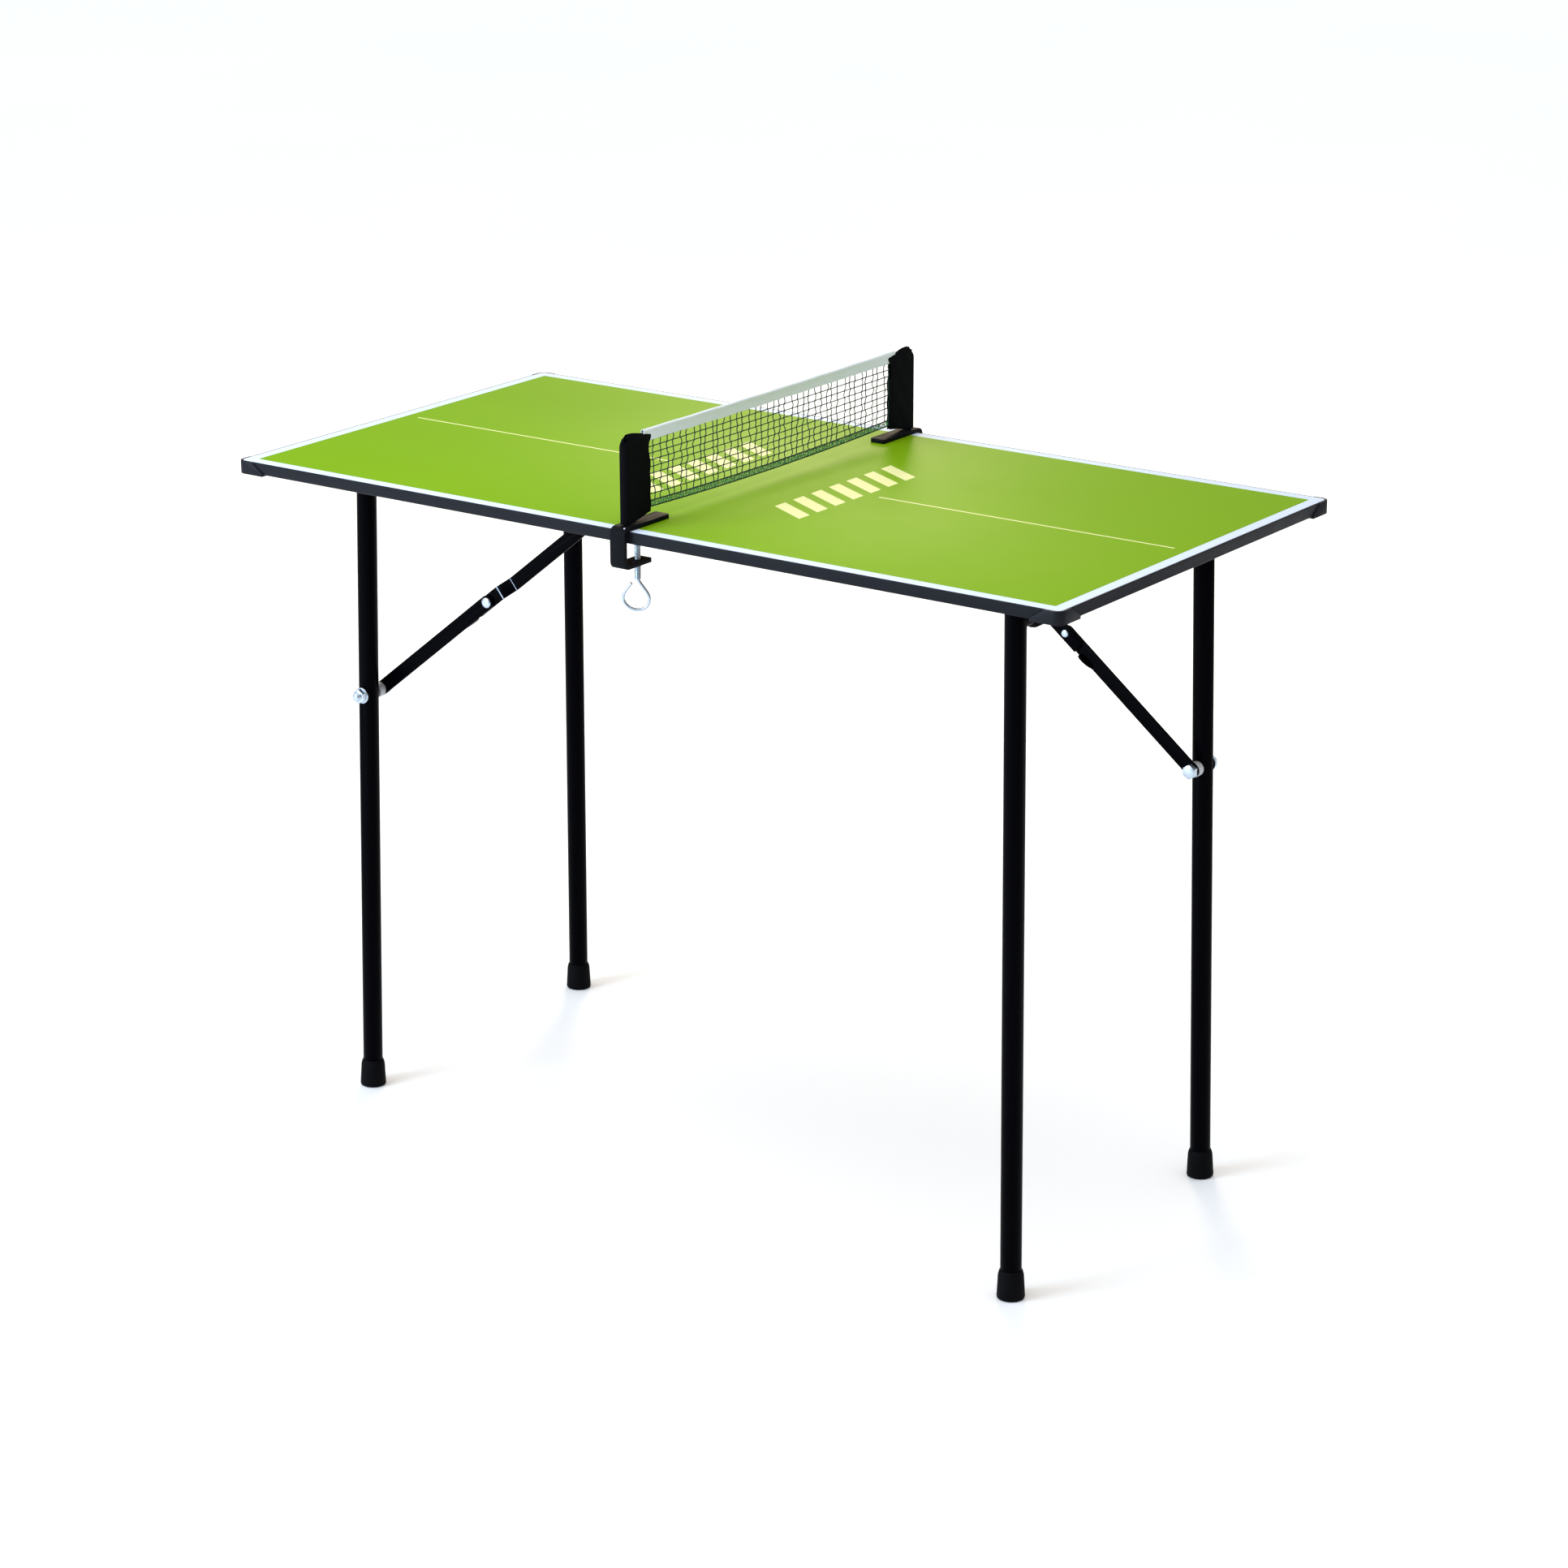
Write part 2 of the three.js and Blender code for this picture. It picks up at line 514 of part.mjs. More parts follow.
// Clamp: a bent strap over the board's edge, the corners of its two arms eased.
function clampBracket() {
  const inner = CLAMP_OUTER_Y - CLAMP_THICKNESS;
  const high = TOP_Z + GAP;
  const hook = slab(strip([
    [-CLAMP_LOW_REACH + 1, CLAMP_LOW_Z + CLAMP_THICKNESS], [-inner, CLAMP_LOW_Z + CLAMP_THICKNESS],
    [-inner, high], [-CLAMP_TOP_REACH + 1, high]], CLAMP_THICKNESS, 3), -CLAMP_HALF, CLAMP_HALF);
  hook.rotateX(Math.PI / 2);
  hook.rotateZ(Math.PI / 2);
  const plan = (reach, low, top) => {
    const half = CLAMP_OUTER_Y - reach + 10;
    const outline = slab(rounded(CLAMP_HALF, half, CLAMP_CORNER), low, top, 4);
    outline.translate(0, -reach - half, 0);
    return solid(outline);
  };
  const split = TOP_Z - 5;
  const ends = join(plan(CLAMP_TOP_REACH, split, TOP_Z + 20), plan(CLAMP_LOW_REACH, CLAMP_LOW_Z - 9, split));
  return cut(
    solid(hook).intersect(ends),
    rod([0, -SCREW_Y, CLAMP_LOW_Z - 5], [0, -SCREW_Y, CLAMP_LOW_Z + 10], SCREW_SHANK + GAP),
    rod([0, -POST_Y, TOP_Z - 5], [0, -POST_Y, TOP_Z + 10], POST_RADIUS - 0.6, 16));
}

// Post: a rod with a thinner foot that is riveted into the clamp's top arm.
function netPost() {
  const seat = TOP_Z + 2 * GAP + CLAMP_THICKNESS;
  return join(
    rod([0, -POST_Y, TOP_Z + GAP], [0, -POST_Y, seat + 2], POST_RADIUS - 1, 16),
    rod([0, -POST_Y, seat], [0, -POST_Y, SLEEVE.top - 3.5], POST_RADIUS, 20));
}

// Eye screw: a threaded shank with a drop-shaped finger loop below it.
function clampScrew() {
  const drop = (radius, tip) => {
    const shape = new THREE.Shape();
    const centre = SCREW_LOW_Z - LOOP_DROP;
    shape.absarc(0, centre, radius, Math.PI * 0.9, Math.PI * 2.1, false);
    shape.lineTo(tip, centre + radius + tip);
    shape.lineTo(-tip, centre + radius + tip);
    return shape;
  };
  const ring = drop(LOOP_RADIUS, 3);
  ring.holes.push(new THREE.Path(drop(LOOP_RADIUS - LOOP_WIRE, 0.8).getPoints(12)));
  const loop = alongY(ring, -LOOP_WIRE / 2, LOOP_WIRE / 2).rotate([0, 0, LOOP_TURN]).translate([0, -SCREW_Y, 0]);
  return join(rod([0, -SCREW_Y, SCREW_LOW_Z], [0, -SCREW_Y, SCREW_TIP_Z], SCREW_SHANK), loop);
}

function screwPad() {
  return cut(
    rod([0, -SCREW_Y, mountZ - PAD_HEIGHT], [0, -SCREW_Y, mountZ], PAD_RADIUS, 28),
    rod([0, -SCREW_Y, mountZ - PAD_HEIGHT - 1], [0, -SCREW_Y, SCREW_TIP_Z + GAP], SCREW_SHANK + GAP));
}

function netSleeve() {
  const { from, to, half, low, top } = SLEEVE;
  const outline = slab(stadium(-to + half, -from - half, half), low, top);
  outline.rotateZ(Math.PI / 2);
  return cut(solid(outline), rod([0, -POST_Y, low - 1], [0, -POST_Y, top - 2.6], POST_RADIUS + GAP, 20));
}

for (const [name, turned] of [['near', false], ['far', true]]) {
  add(`clamp_bracket_${name}`, placed(clampBracket(), turned), BLACK_PAINT);
  add(`clamp_screw_${name}`, placed(clampScrew(), turned), ZINC);
  add(`screw_pad_${name}`, placed(screwPad(), turned), ZINC);
  add(`net_post_${name}`, placed(netPost(), turned), BLACK_PAINT);
  add(`net_sleeve_${name}`, placed(netSleeve(), turned), FABRIC);
}
add('net_panel', box([-NET.half, NET.half], [-NET.end, NET.end], [NET.low, NET.seam]), NET_CORD);
add('net_tape', box(
  [-NET.tapeHalf, NET.tapeHalf], [-NET.end, NET.end], [NET.seam + GAP, NET.top]), WHITE_TAPE);

export default table;
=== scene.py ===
# %% [markdown]
# # A small folding ping pong table
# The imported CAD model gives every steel, wood and plastic part its place. This lesson gives the
# parts their looks, and swaps the plain blocks of the net set for cord and cloth.

# %% Load the frame
import json
import math
import random

import bmesh
import bpy
from mathutils import Matrix, Vector


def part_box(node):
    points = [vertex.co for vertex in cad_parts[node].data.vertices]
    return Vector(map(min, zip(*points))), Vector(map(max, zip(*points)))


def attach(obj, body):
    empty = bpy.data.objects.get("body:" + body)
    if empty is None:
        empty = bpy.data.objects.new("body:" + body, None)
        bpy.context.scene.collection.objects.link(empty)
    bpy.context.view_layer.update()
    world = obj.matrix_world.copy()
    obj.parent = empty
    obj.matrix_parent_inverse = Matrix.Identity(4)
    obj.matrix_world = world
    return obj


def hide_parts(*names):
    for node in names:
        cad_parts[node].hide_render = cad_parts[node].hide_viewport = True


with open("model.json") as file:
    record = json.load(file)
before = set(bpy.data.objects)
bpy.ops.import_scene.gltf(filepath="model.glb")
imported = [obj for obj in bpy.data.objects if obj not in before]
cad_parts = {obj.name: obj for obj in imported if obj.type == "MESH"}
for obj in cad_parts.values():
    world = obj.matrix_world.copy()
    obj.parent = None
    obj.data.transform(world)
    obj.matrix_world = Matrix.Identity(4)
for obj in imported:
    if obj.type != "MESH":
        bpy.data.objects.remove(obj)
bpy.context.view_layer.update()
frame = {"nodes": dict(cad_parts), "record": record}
nodes = frame["nodes"]

MM = 0.001
TOP_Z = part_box("tabletop_board")[1].z
BOARD_HALF_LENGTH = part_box("tabletop_board")[1].x
BOARD_HALF_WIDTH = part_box("tabletop_board")[1].y
print(f"board top at {TOP_Z:.3f} m, {2 * BOARD_HALF_LENGTH:.3f} by {2 * BOARD_HALF_WIDTH:.3f} m")

# %% [markdown]
# ## Camera
# The camera comes first, so that every later look is judged from the same place. A long lens from
# a little over four metres keeps the far legs almost as large as the near ones.

# %% Camera
def add_camera(place, turn_degrees, lens):
    data = bpy.data.cameras.new("table_camera")
    data.lens = lens
    data.sensor_width = 36
    data.clip_end = 60
    camera = bpy.data.objects.new("table_camera", data)
    camera.location = place
    camera.rotation_euler = [math.radians(a) for a in turn_degrees]
    bpy.context.scene.collection.objects.link(camera)
    bpy.context.scene.camera = camera
    return camera


camera = add_camera((2.2072, -3.0649, 1.5933), (71.762, 0.146, 35.575), 97.385)
print("camera at", tuple(round(v, 3) for v in camera.location))

# %% [markdown]
# ## Floor and light
# A pale floor and a world that is brightest overhead act as one big softbox, and the dim horizon
# keeps the black parts black. A wide soft sun evens out the floor. A warm lamp stands where the
# board mirrors it towards the camera and draws its broad shine. A cool lamp lifts the near edge.

# %% Floor and lamps
scene = bpy.context.scene
scene.view_settings.view_transform = "Standard"


def add_floor(size):
    mesh = bpy.data.meshes.new("studio_floor")
    bm = bmesh.new()
    bmesh.ops.create_grid(bm, x_segments=1, y_segments=1, size=size)
    bm.to_mesh(mesh)
    bm.free()
    floor = bpy.data.objects.new("studio_floor", mesh)
    scene.collection.objects.link(floor)
    return floor


def add_lamp(name, place, target, size, power, tint):
    data = bpy.data.lights.new(name, "AREA")
    data.shape = "RECTANGLE"
    data.size, data.size_y = size
    data.energy = power
    data.color = tint
    lamp = bpy.data.objects.new(name, data)
    lamp.location = place
    direction = Vector(target) - Vector(place)
    lamp.rotation_euler = direction.to_track_quat("-Z", "Y").to_euler()
    scene.collection.objects.link(lamp)
    return lamp


COOL, WARM = (0.68, 0.83, 1), (1, 0.79, 0.5)
FLOOR_HALF = 30
SUN_STRENGTH, SUN_SPREAD, SUN_TILT = 0.9, 70, (16, -10, 0)
HORIZON_LIGHT, ZENITH_LIGHT = 0.18, 1.25

floor = add_floor(FLOOR_HALF)
add_lamp("key_lamp", (-1.6, -3.0, 1.35), (0, 0, 0.5), (1.6, 1.0), 105, COOL)
add_lamp("shine_lamp", (-1.8, 2.75, 2.2), (0.15, -0.1, 0.64), (0.7, 1.8), 42, WARM)
sun_data = bpy.data.lights.new("soft_sun", "SUN")
sun_data.energy = SUN_STRENGTH
sun_data.angle = math.radians(SUN_SPREAD)
sun = bpy.data.objects.new("soft_sun", sun_data)
sun.rotation_euler = [math.radians(a) for a in SUN_TILT]
scene.collection.objects.link(sun)


def softbox_world(horizon, zenith):
    """Light that grows from the horizon to the zenith."""
    world = bpy.data.worlds.new("studio_world")
    world.use_nodes = True
    tree = world.node_tree
    background = tree.nodes["Background"]
    background.inputs["Color"].default_value = (0.96, 0.975, 1, 1)
    direction = tree.nodes.new("ShaderNodeTexCoord")
    height = tree.nodes.new("ShaderNodeSeparateXYZ")
    spread = tree.nodes.new("ShaderNodeMapRange")
    spread.inputs["To Min"].default_value = horizon
    spread.inputs["To Max"].default_value = zenith
    tree.links.new(direction.outputs["Generated"], height.inputs[0])
    tree.links.new(height.outputs["Z"], spread.inputs["Value"])
    tree.links.new(spread.outputs[0], background.inputs["Strength"])
    return world


scene.world = softbox_world(HORIZON_LIGHT, ZENITH_LIGHT)

# %% [markdown]
# ## A short way to write materials
# A material's pattern is arithmetic on positions, so two small classes let it be written as
# arithmetic. `Field` wraps one output socket and turns `a * b` into a Math node. `Look` owns a
# material, and its `node` method makes any other node from its settings and its inputs.

# %% Field and Look
class Field:
    """A number, colour or vector that varies over a surface."""

    def __init__(self, look, socket):
        self.look, self.socket = look, socket

    def maths(self, operation, *values):
        return self.look.node("ShaderNodeMath", {"operation": operation}, *values)

    def __add__(self, other):
        return self.maths("ADD", self, other)

    def __sub__(self, other):
        return self.maths("SUBTRACT", self, other)

    def __rsub__(self, other):
        return self.maths("SUBTRACT", other, self)

    def __mul__(self, other):
        return self.maths("MULTIPLY", self, other)

    def __truediv__(self, other):
        return self.maths("DIVIDE", self, other)

    def __gt__(self, other):
        return self.maths("GREATER_THAN", self, other)

    def __lt__(self, other):
        return self.maths("LESS_THAN", self, other)

    def __abs__(self):
        return self.maths("ABSOLUTE", self)

    def most(self, other):
        return self.maths("MAXIMUM", self, other)

    def least(self, other):
        return self.maths("MINIMUM", self, other)

    def wave(self, length):
        """A sine from -1 to 1 that repeats every length."""
        return self.maths("SINE", self * (2 * math.pi / length))

    __radd__, __rmul__ = __add__, __mul__


class Look:
    """A material with one shader. Keyword values are constants on the shader's own sockets."""

    def __init__(self, name, color, roughness, **constants):
        self.material = bpy.data.materials.new(name)
        self.material.use_nodes = True
        self.tree = self.material.node_tree
        self.shader = self.tree.nodes["Principled BSDF"]
        self.material.diffuse_color = (*color, 1)
        self.feed(Base_Color=(*color, 1), Roughness=roughness, **constants)
        self.place = self.node("ShaderNodeTexCoord", out="Object")

    def put(self, socket, value):
        if isinstance(value, Field):
            self.tree.links.new(value.socket, socket)
        else:
            socket.default_value = value

    def feed(self, **values):
        for name, value in values.items():
            self.put(self.shader.inputs[name.replace("_", " ")], value)

    def node(self, kind, settings=None, *values, out=0, **named):
        made = self.tree.nodes.new(kind)
        for name, value in (settings or {}).items():
            setattr(made, name, value)
        for socket, value in zip(made.inputs, values):
            self.put(socket, value)
        for name, value in named.items():
            self.put(made.inputs[name.replace("_", " ")], value)
        return Field(self, made.outputs[out])

    def axes(self):
        """The three coordinates of the surface point, in metres."""
        split = self.tree.nodes.new("ShaderNodeSeparateXYZ")
        self.put(split.inputs[0], self.place)
        return [Field(self, output) for output in split.outputs]

    def noise(self, scale, detail=3, roughness=0.5, stretch=(1, 1, 1)):
        spread = self.node("ShaderNodeVectorMath", {"operation": "MULTIPLY"}, self.place, stretch)
        return self.node(
            "ShaderNodeTexNoise", None, Vector=spread, Scale=scale, Detail=detail,
            Roughness=roughness, out=0)

    def blend(self, share, first, second):
        """first where share is 0 and second where it is 1, as colours."""
        made = self.tree.nodes.new("ShaderNodeMix")
        made.data_type = "RGBA"
        self.put(made.inputs[0], share)
        self.put(made.inputs[6], first if isinstance(first, Field) else (*first, 1))
        self.put(made.inputs[7], second if isinstance(second, Field) else (*second, 1))
        return Field(self, made.outputs[2])

    def bump(self, height, depth, strength=1.0):
        """Relief: height from 0 to 1, depth in metres."""
        self.feed(Normal=self.node(
            "ShaderNodeBump", None, Strength=strength, Distance=depth, Height=height))


def shade(hex_color):
    """A screen colour such as '8dbe28' as linear numbers."""
    parts = [int(hex_color[i:i + 2], 16) / 255 for i in (0, 2, 4)]
    return tuple(((c + 0.055) / 1.055) ** 2.4 if c > 0.04045 else c / 12.92 for c in parts)


print("green is", tuple(round(c, 3) for c in shade("8dbe28")))

# %% [markdown]
# ## Board paint
# The board is sprayed green with a white line round its edge. Each half has a thin pale line along
# its middle, which stops short of both ends, and a printed badge. The badge here is a plain row of
# slanted bars. All of it is drawn from the surface position, so no picture file is needed. Below
# the painted face the bare fibreboard shows.

# %% Board look
EDGE_LINE = 11.3 * MM
MIDDLE_LINE = {"half": 1.2 * MM, "from": 117 * MM, "to": 425 * MM}
PAINT_DEPTH = 1.2 * MM
BADGE = {
    "middle": 81 * MM, "half": 22 * MM, "reach": 98 * MM, "pitch": 28 * MM, "slant": 0.55,
    "fill": 0.29}


def board_look():
    look = Look("green_board_paint", shade("7eab12"), 0.45, Specular_IOR_Level=0.035)
    x, y, z = look.axes()
    across = abs(x)
    cloud = look.noise(3.0, 2)
    grain = look.noise(900, 2)
    green = look.blend(cloud, shade("739d06"), shade("7aa509"))

    edge = (across > BOARD_HALF_LENGTH - EDGE_LINE).most(abs(y) > BOARD_HALF_WIDTH - EDGE_LINE)
    along = (across > MIDDLE_LINE["from"]) * (across < MIDDLE_LINE["to"])
    middle = (abs(y) < MIDDLE_LINE["half"]) * along
    side = x.maths("SIGN", x)
    slanted = y * side + (across - BADGE["middle"]) * BADGE["slant"]
    step = look.node("ShaderNodeMath", {"operation": "PINGPONG"}, slanted, BADGE["pitch"] / 2)
    bar = (step < BADGE["pitch"] * BADGE["fill"]) * (abs(across - BADGE["middle"]) < BADGE["half"])
    badge = bar * (abs(slanted) < BADGE["reach"])

    color = look.blend(middle.most(badge), green, shade("dfe0a0"))
    color = look.blend(edge, color, look.blend(cloud, shade("cddbee"), shade("d6e2f3")))
    fibre = look.blend(look.noise(160, 5, 0.7, (1, 3, 1)), shade("6a5238"), shade("8a6f4e"))
    bare = z < TOP_Z - PAINT_DEPTH
    look.feed(
        Base_Color=look.blend(bare, color, fibre),
        Roughness=look.noise(26, 4) * 0.06 + 0.42 + bare * 0.3)
    look.bump(grain + bare * look.noise(500, 4) * 6, 0.02 * MM, 0.5)
    return look.material


board_paint = board_look()
print("board paint has", len(board_paint.node_tree.nodes), "nodes")

# %% [markdown]
# ## Plastic, powder coat, rubber and zinc
# The rim and its corner caps are moulded with a fine grain. The tubes and bars are powder coated,
# which leaves a faint orange-peel. Rubber is rough and a little dusty. Zinc plate is a bright metal
# whose polish varies, so its roughness carries the pattern.

# %% Hard looks
def speckled(name, dark, light, rough, grain, depth, patch=14, **constants):
    """A look with slow colour patches, a slight change of polish and a fine relief."""
    look = Look(name, shade(dark), rough[0], **constants)
    patches = look.noise(patch, 4, 0.6)
    look.feed(
        Base_Color=look.blend(patches, shade(dark), shade(light)),
        Roughness=look.noise(patch * 5, 4) * (rough[1] - rough[0]) + rough[0])
    look.bump(look.noise(grain, 3), depth * MM, 0.6)
    return look.material


rim_plastic = speckled("rim_plastic_charcoal", "13151a", "181a20", (0.4, 0.56), 1500, 0.03,
                       Specular_IOR_Level=0.1)
powder_coat = speckled("powder_coat_black", "010103", "020205", (0.3, 0.42), 700, 0.025,
                       Specular_IOR_Level=0.018)
foot_rubber = speckled("foot_rubber_black", "030305", "060608", (0.6, 0.8), 900, 0.05, 40,
                       Specular_IOR_Level=0.06)
zinc_plate = speckled("zinc_plate_bright", "a9b6c4", "ccd8e3", (0.18, 0.4), 1800, 0.012, 60,
                      Metallic=0.94)
grey_nylon = speckled("spacer_grey_nylon", "aeb2b6", "c4c8cb", (0.4, 0.55), 900, 0.02, 80)
block_plastic = speckled("block_black_nylon", "050507", "0a0a0d", (0.42, 0.6), 1200, 0.03,
                         Specular_IOR_Level=0.08)


clamp_paint = speckled("clamp_paint_black", "0e0f12", "141518", (0.45, 0.6), 700, 0.025,
                       Specular_IOR_Level=0.03)

# The knee pin and the direction of the upper link, seen from the side with the left end mirrored.
KNEE_SIDE = (249.19 * MM, 511.37 * MM)
UPPER_RUN = (0.7806, 0.625)
BEND_LINES = ((17.6 * MM, 0.5 * MM), (31.4 * MM, 0.28 * MM))


def bent_coat_look():
    """Powder coat with painted highlights: bluish white lines along the two bends of the joggle,
    where the curved bends would catch the light.
    """
    look = Look("bent_coat_black", shade("010103"), 0.35, Specular_IOR_Level=0.018)
    x, y, z = look.axes()
    station = (KNEE_SIDE[0] - abs(x)) * UPPER_RUN[0] + (z - KNEE_SIDE[1]) * UPPER_RUN[1]
    first, second = (abs(station - at) < half for at, half in BEND_LINES)
    # Painted highlight: the bend lines get a bluish white base colour in place of the shine of the
    # curved bends.
    painted_bend_highlight = first.most(second) * (look.noise(300, 3) * 0.5 + 0.6).least(1)
    coat = look.blend(look.noise(14, 4), shade("010103"), shade("020205"))
    look.feed(
        Base_Color=look.blend(painted_bend_highlight, coat, shade("c3d2e4")),
        Roughness=look.noise(70, 4) * 0.12 + 0.3)
    look.bump(look.noise(700, 3), 0.025 * MM, 0.6)
    return look.material


bent_coat = bent_coat_look()


def floor_look():
    look = Look("studio_floor_paper", shade("f1f2f4"), 0.75)
    look.feed(Base_Color=look.blend(look.noise(0.8, 2), shade("eff1f3"), shade("f4f5f6")))
    return look.material


floor.data.materials.append(floor_look())
print(len(bpy.data.materials), "materials so far")

# %% [markdown]
# ## Cloth looks
# The net's tape and end sleeves are woven. A plain weave is two crossed waves, and one of them is
# turned over in every second cell. The cloth hangs in the plane of the net, so its threads run
# along Y and Z. The net's cords are dark green, and nearly navy in places.

# %% Cloth looks
def woven(name, dark, light, thread, depth, rough, **constants):
    look = Look(name, shade(dark), rough, **constants)
    x, y, z = look.axes()
    run = y + x
    warp, weft = run.wave(thread * 2), z.wave(thread * 2)
    weave = abs(warp) * (weft > 0) + abs(weft) * (weft < 0)
    worn = look.noise(30, 4)
    look.feed(
        Base_Color=look.blend(worn * 0.7 + weave * 0.3, shade(dark), shade(light)),
        Roughness=worn * 0.12 + (rough - 0.06))
    look.bump(weave + look.noise(220, 3) * 0.8, depth * MM, 0.7)
    return look.material


sleeve_cloth = woven(
    "sleeve_cloth_black", "040406", "0a0a0e", 0.7 * MM, 0.1, 0.86, Specular_IOR_Level=0.06)
tape_cloth = woven(
    "tape_cloth_white", "eceffc", "f6f8ff", 0.5 * MM, 0.08, 0.82, Specular_IOR_Level=0.35,
    Sheen_Weight=0.5, Sheen_Tint=(0.7, 0.85, 1, 1))


def cord_look():
    look = Look("net_cord_green", shade("10241f"), 0.8)
    x, y, z = look.axes()
    twist = abs((y + z * 1.7 + x).wave(2.4 * MM))
    tint = look.noise(18, 3)
    color = look.blend(tint, shade("0d2a1c"), shade("101a30"))
    look.feed(
        Base_Color=look.blend(twist * 0.5, color, shade("1d4632")), Roughness=tint * 0.15 + 0.7)
    look.bump(twist, 0.12 * MM, 0.6)
    return look.material


net_cord = cord_look()
print("cloth looks:", sleeve_cloth.name, tape_cloth.name, net_cord.name)

# %% [markdown]
# ## Finishing the CAD parts
# The CAD parts are exact, but their edges are knife sharp and their round faces are flat facets.
# Real steel and plastic edges catch a thin line of light. Each part is copied, its loose triangles
# are merged, flat faces are dissolved into one, and the sharp edges are bevelled.

# %% Helpers for pieces
def place_piece(name, bm, body, look, slot, *replaced, smooth=32):
    """A finished mesh as an object that rides on a body."""
    mesh = bpy.data.meshes.new(name)
    bm.to_mesh(mesh)
    bm.free()
    mesh.materials.append(look)
    mesh.shade_smooth()
    mesh.set_sharp_from_angle(angle=math.radians(smooth))
    made = bpy.data.objects.new(name, mesh)
    scene.collection.objects.link(made)
    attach(made, body)
    if replaced:
        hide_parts(*replaced)
    return made


def body_of(node):
    bodies = frame["record"]["behaviour"]["bodies"]
    return next(body for body, members in bodies.items() if node in members)


WELD, FLAT_ANGLE, CORNER_ANGLE, BEVEL_STEPS = 0.004 * MM, math.radians(0.6), math.radians(34), 2


def finish_node(node, look, slot, edge):
    """A bevelled copy of a CAD node that stands for it."""
    bm = bmesh.new()
    bm.from_mesh(nodes[node].data)
    bmesh.ops.remove_doubles(bm, verts=bm.verts, dist=WELD)
    bmesh.ops.dissolve_limit(bm, angle_limit=FLAT_ANGLE, verts=bm.verts, edges=bm.edges)
    sharp = [e for e in bm.edges if e.is_manifold and e.calc_face_angle(0) > CORNER_ANGLE]
    bmesh.ops.bevel(
        bm, geom=sharp, offset=edge * MM, offset_type="OFFSET", segments=BEVEL_STEPS, profile=0.5,
        affect="EDGES", clamp_overlap=True, material=-1)
    return place_piece(node + "_finish", bm, body_of(node), look, slot, node)


# %% Board, rim, tubes, bars and feet
FINISHES = [
    ("tabletop_board", board_paint, "board_green", 0.35),
    ("edge_trim", rim_plastic, "rim_plastic", 0.3),
    ("corner_cap", rim_plastic, "rim_plastic", 0.45),
    ("pivot_block", block_plastic, "rim_plastic", 0.6),
    ("crossbar", powder_coat, "frame_paint", 0.3),
    ("leg_tube", powder_coat, "frame_paint", 0.2),
    ("foot", foot_rubber, "foot_rubber", 0.4),
    ("brace_lower", powder_coat, "frame_paint", 0.35),
    ("brace_upper", bent_coat, "frame_paint", 0.35),
    ("brace_bracket", powder_coat, "frame_paint", 0.35),
    ("brace_spacer", grey_nylon, "spacer_plastic", 0.4),
    ("clamp_bracket", clamp_paint, "frame_paint", 0.5),
    ("net_post", powder_coat, "frame_paint", 0.4),
    ("screw_pad", zinc_plate, "zinc_steel", 0.4),
]
for prefix, look, slot, edge in FINISHES:
    found = sorted(n for n in nodes if n.startswith(prefix))
    for node in found:
        finish_node(node, look, slot, edge)
    print(prefix, len(found))

# %% [markdown]
# ## Turned parts
# Rivets, pins and bolt shanks are round about an axis. Each one is a half outline that is spun
# through a full turn. The outline starts and ends on the axis, so the solid closes at its poles.

# %% Turned parts
def turned(outline, steps=32):
    """A solid of revolution about Z from (radius, height) points in millimetres."""
    bm = bmesh.new()
    points = [bm.verts.new((r * MM, 0, h * MM)) for r, h in outline]
    edges = [bm.edges.new(pair) for pair in zip(points, points[1:])]
    bmesh.ops.spin(
        bm, geom=points + edges, cent=(0, 0, 0), axis=(0, 0, 1), angle=2 * math.pi, steps=steps,
        use_merge=True)
    bmesh.ops.remove_doubles(bm, verts=bm.verts, dist=0.002 * MM)
    bmesh.ops.recalc_face_normals(bm, faces=bm.faces)
    return bm


def aim(bm, place, direction):
    """Turns a mesh made along +Z to point along direction, then moves it."""
    turn = Vector((0, 0, 1)).rotation_difference(Vector(direction)).to_matrix().to_4x4()
    bmesh.ops.transform(bm, matrix=Matrix.Translation(place) @ turn, verts=bm.verts)
    return bm


def half_turn(bm):
    """Turns a mesh half way round the table's middle."""
    bmesh.ops.rotate(bm, cent=(0, 0, 0), matrix=Matrix.Rotation(math.pi, 3, "Z"), verts=bm.verts)


def middle(node):
    low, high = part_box(node)
    return (low + high) / 2


KNEE_HEAD = [
    (0, 1.9), (2.6, 1.85), (4.1, 1.6), (5.0, 1.0), (5.2, 0.35), (5.1, 0), (2.4, 0), (2.4, -2.6),
    (0, -2.6)]
KNEE_TAIL = [(0, 2.2), (2.2, 2.1), (3.3, 1.7), (3.8, 0.9), (3.8, 0), (0, 0)]
LINK_STEP = 2.8 * MM
for side, out in (("left", -1), ("right", 1)):
    head = middle(f"knee_rivet_{side}")
    low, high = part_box(f"brace_lower_{side}")
    outer = low.y if out < 0 else high.y
    spot = (head.x, outer + out * 0.1 * MM, head.z)
    place_piece(
        f"knee_head_{side}", aim(turned(KNEE_HEAD), spot, (0, out, 0)), f"brace_lower_{side}",
        zinc_plate, "zinc_steel", f"knee_rivet_{side}")
    inner = (high.y if out < 0 else low.y) - out * LINK_STEP
    spot = (head.x, inner - out * 0.02 * MM, head.z)
    place_piece(
        f"knee_tail_{side}", aim(turned(KNEE_TAIL), spot, (0, -out, 0)), f"brace_upper_{side}",
        zinc_plate, "zinc_steel")
print("knee rivets made")

# %% [markdown]
# ## The lip on each lower link
# Just below the upper link's tail, the lower edge of the lower link is turned in. The lip is a
# prism whose outline lies along the link and inwards. The outline starts inside the bar, so the two
# meet without a gap. The right brace is the left one turned half way round the table's middle.

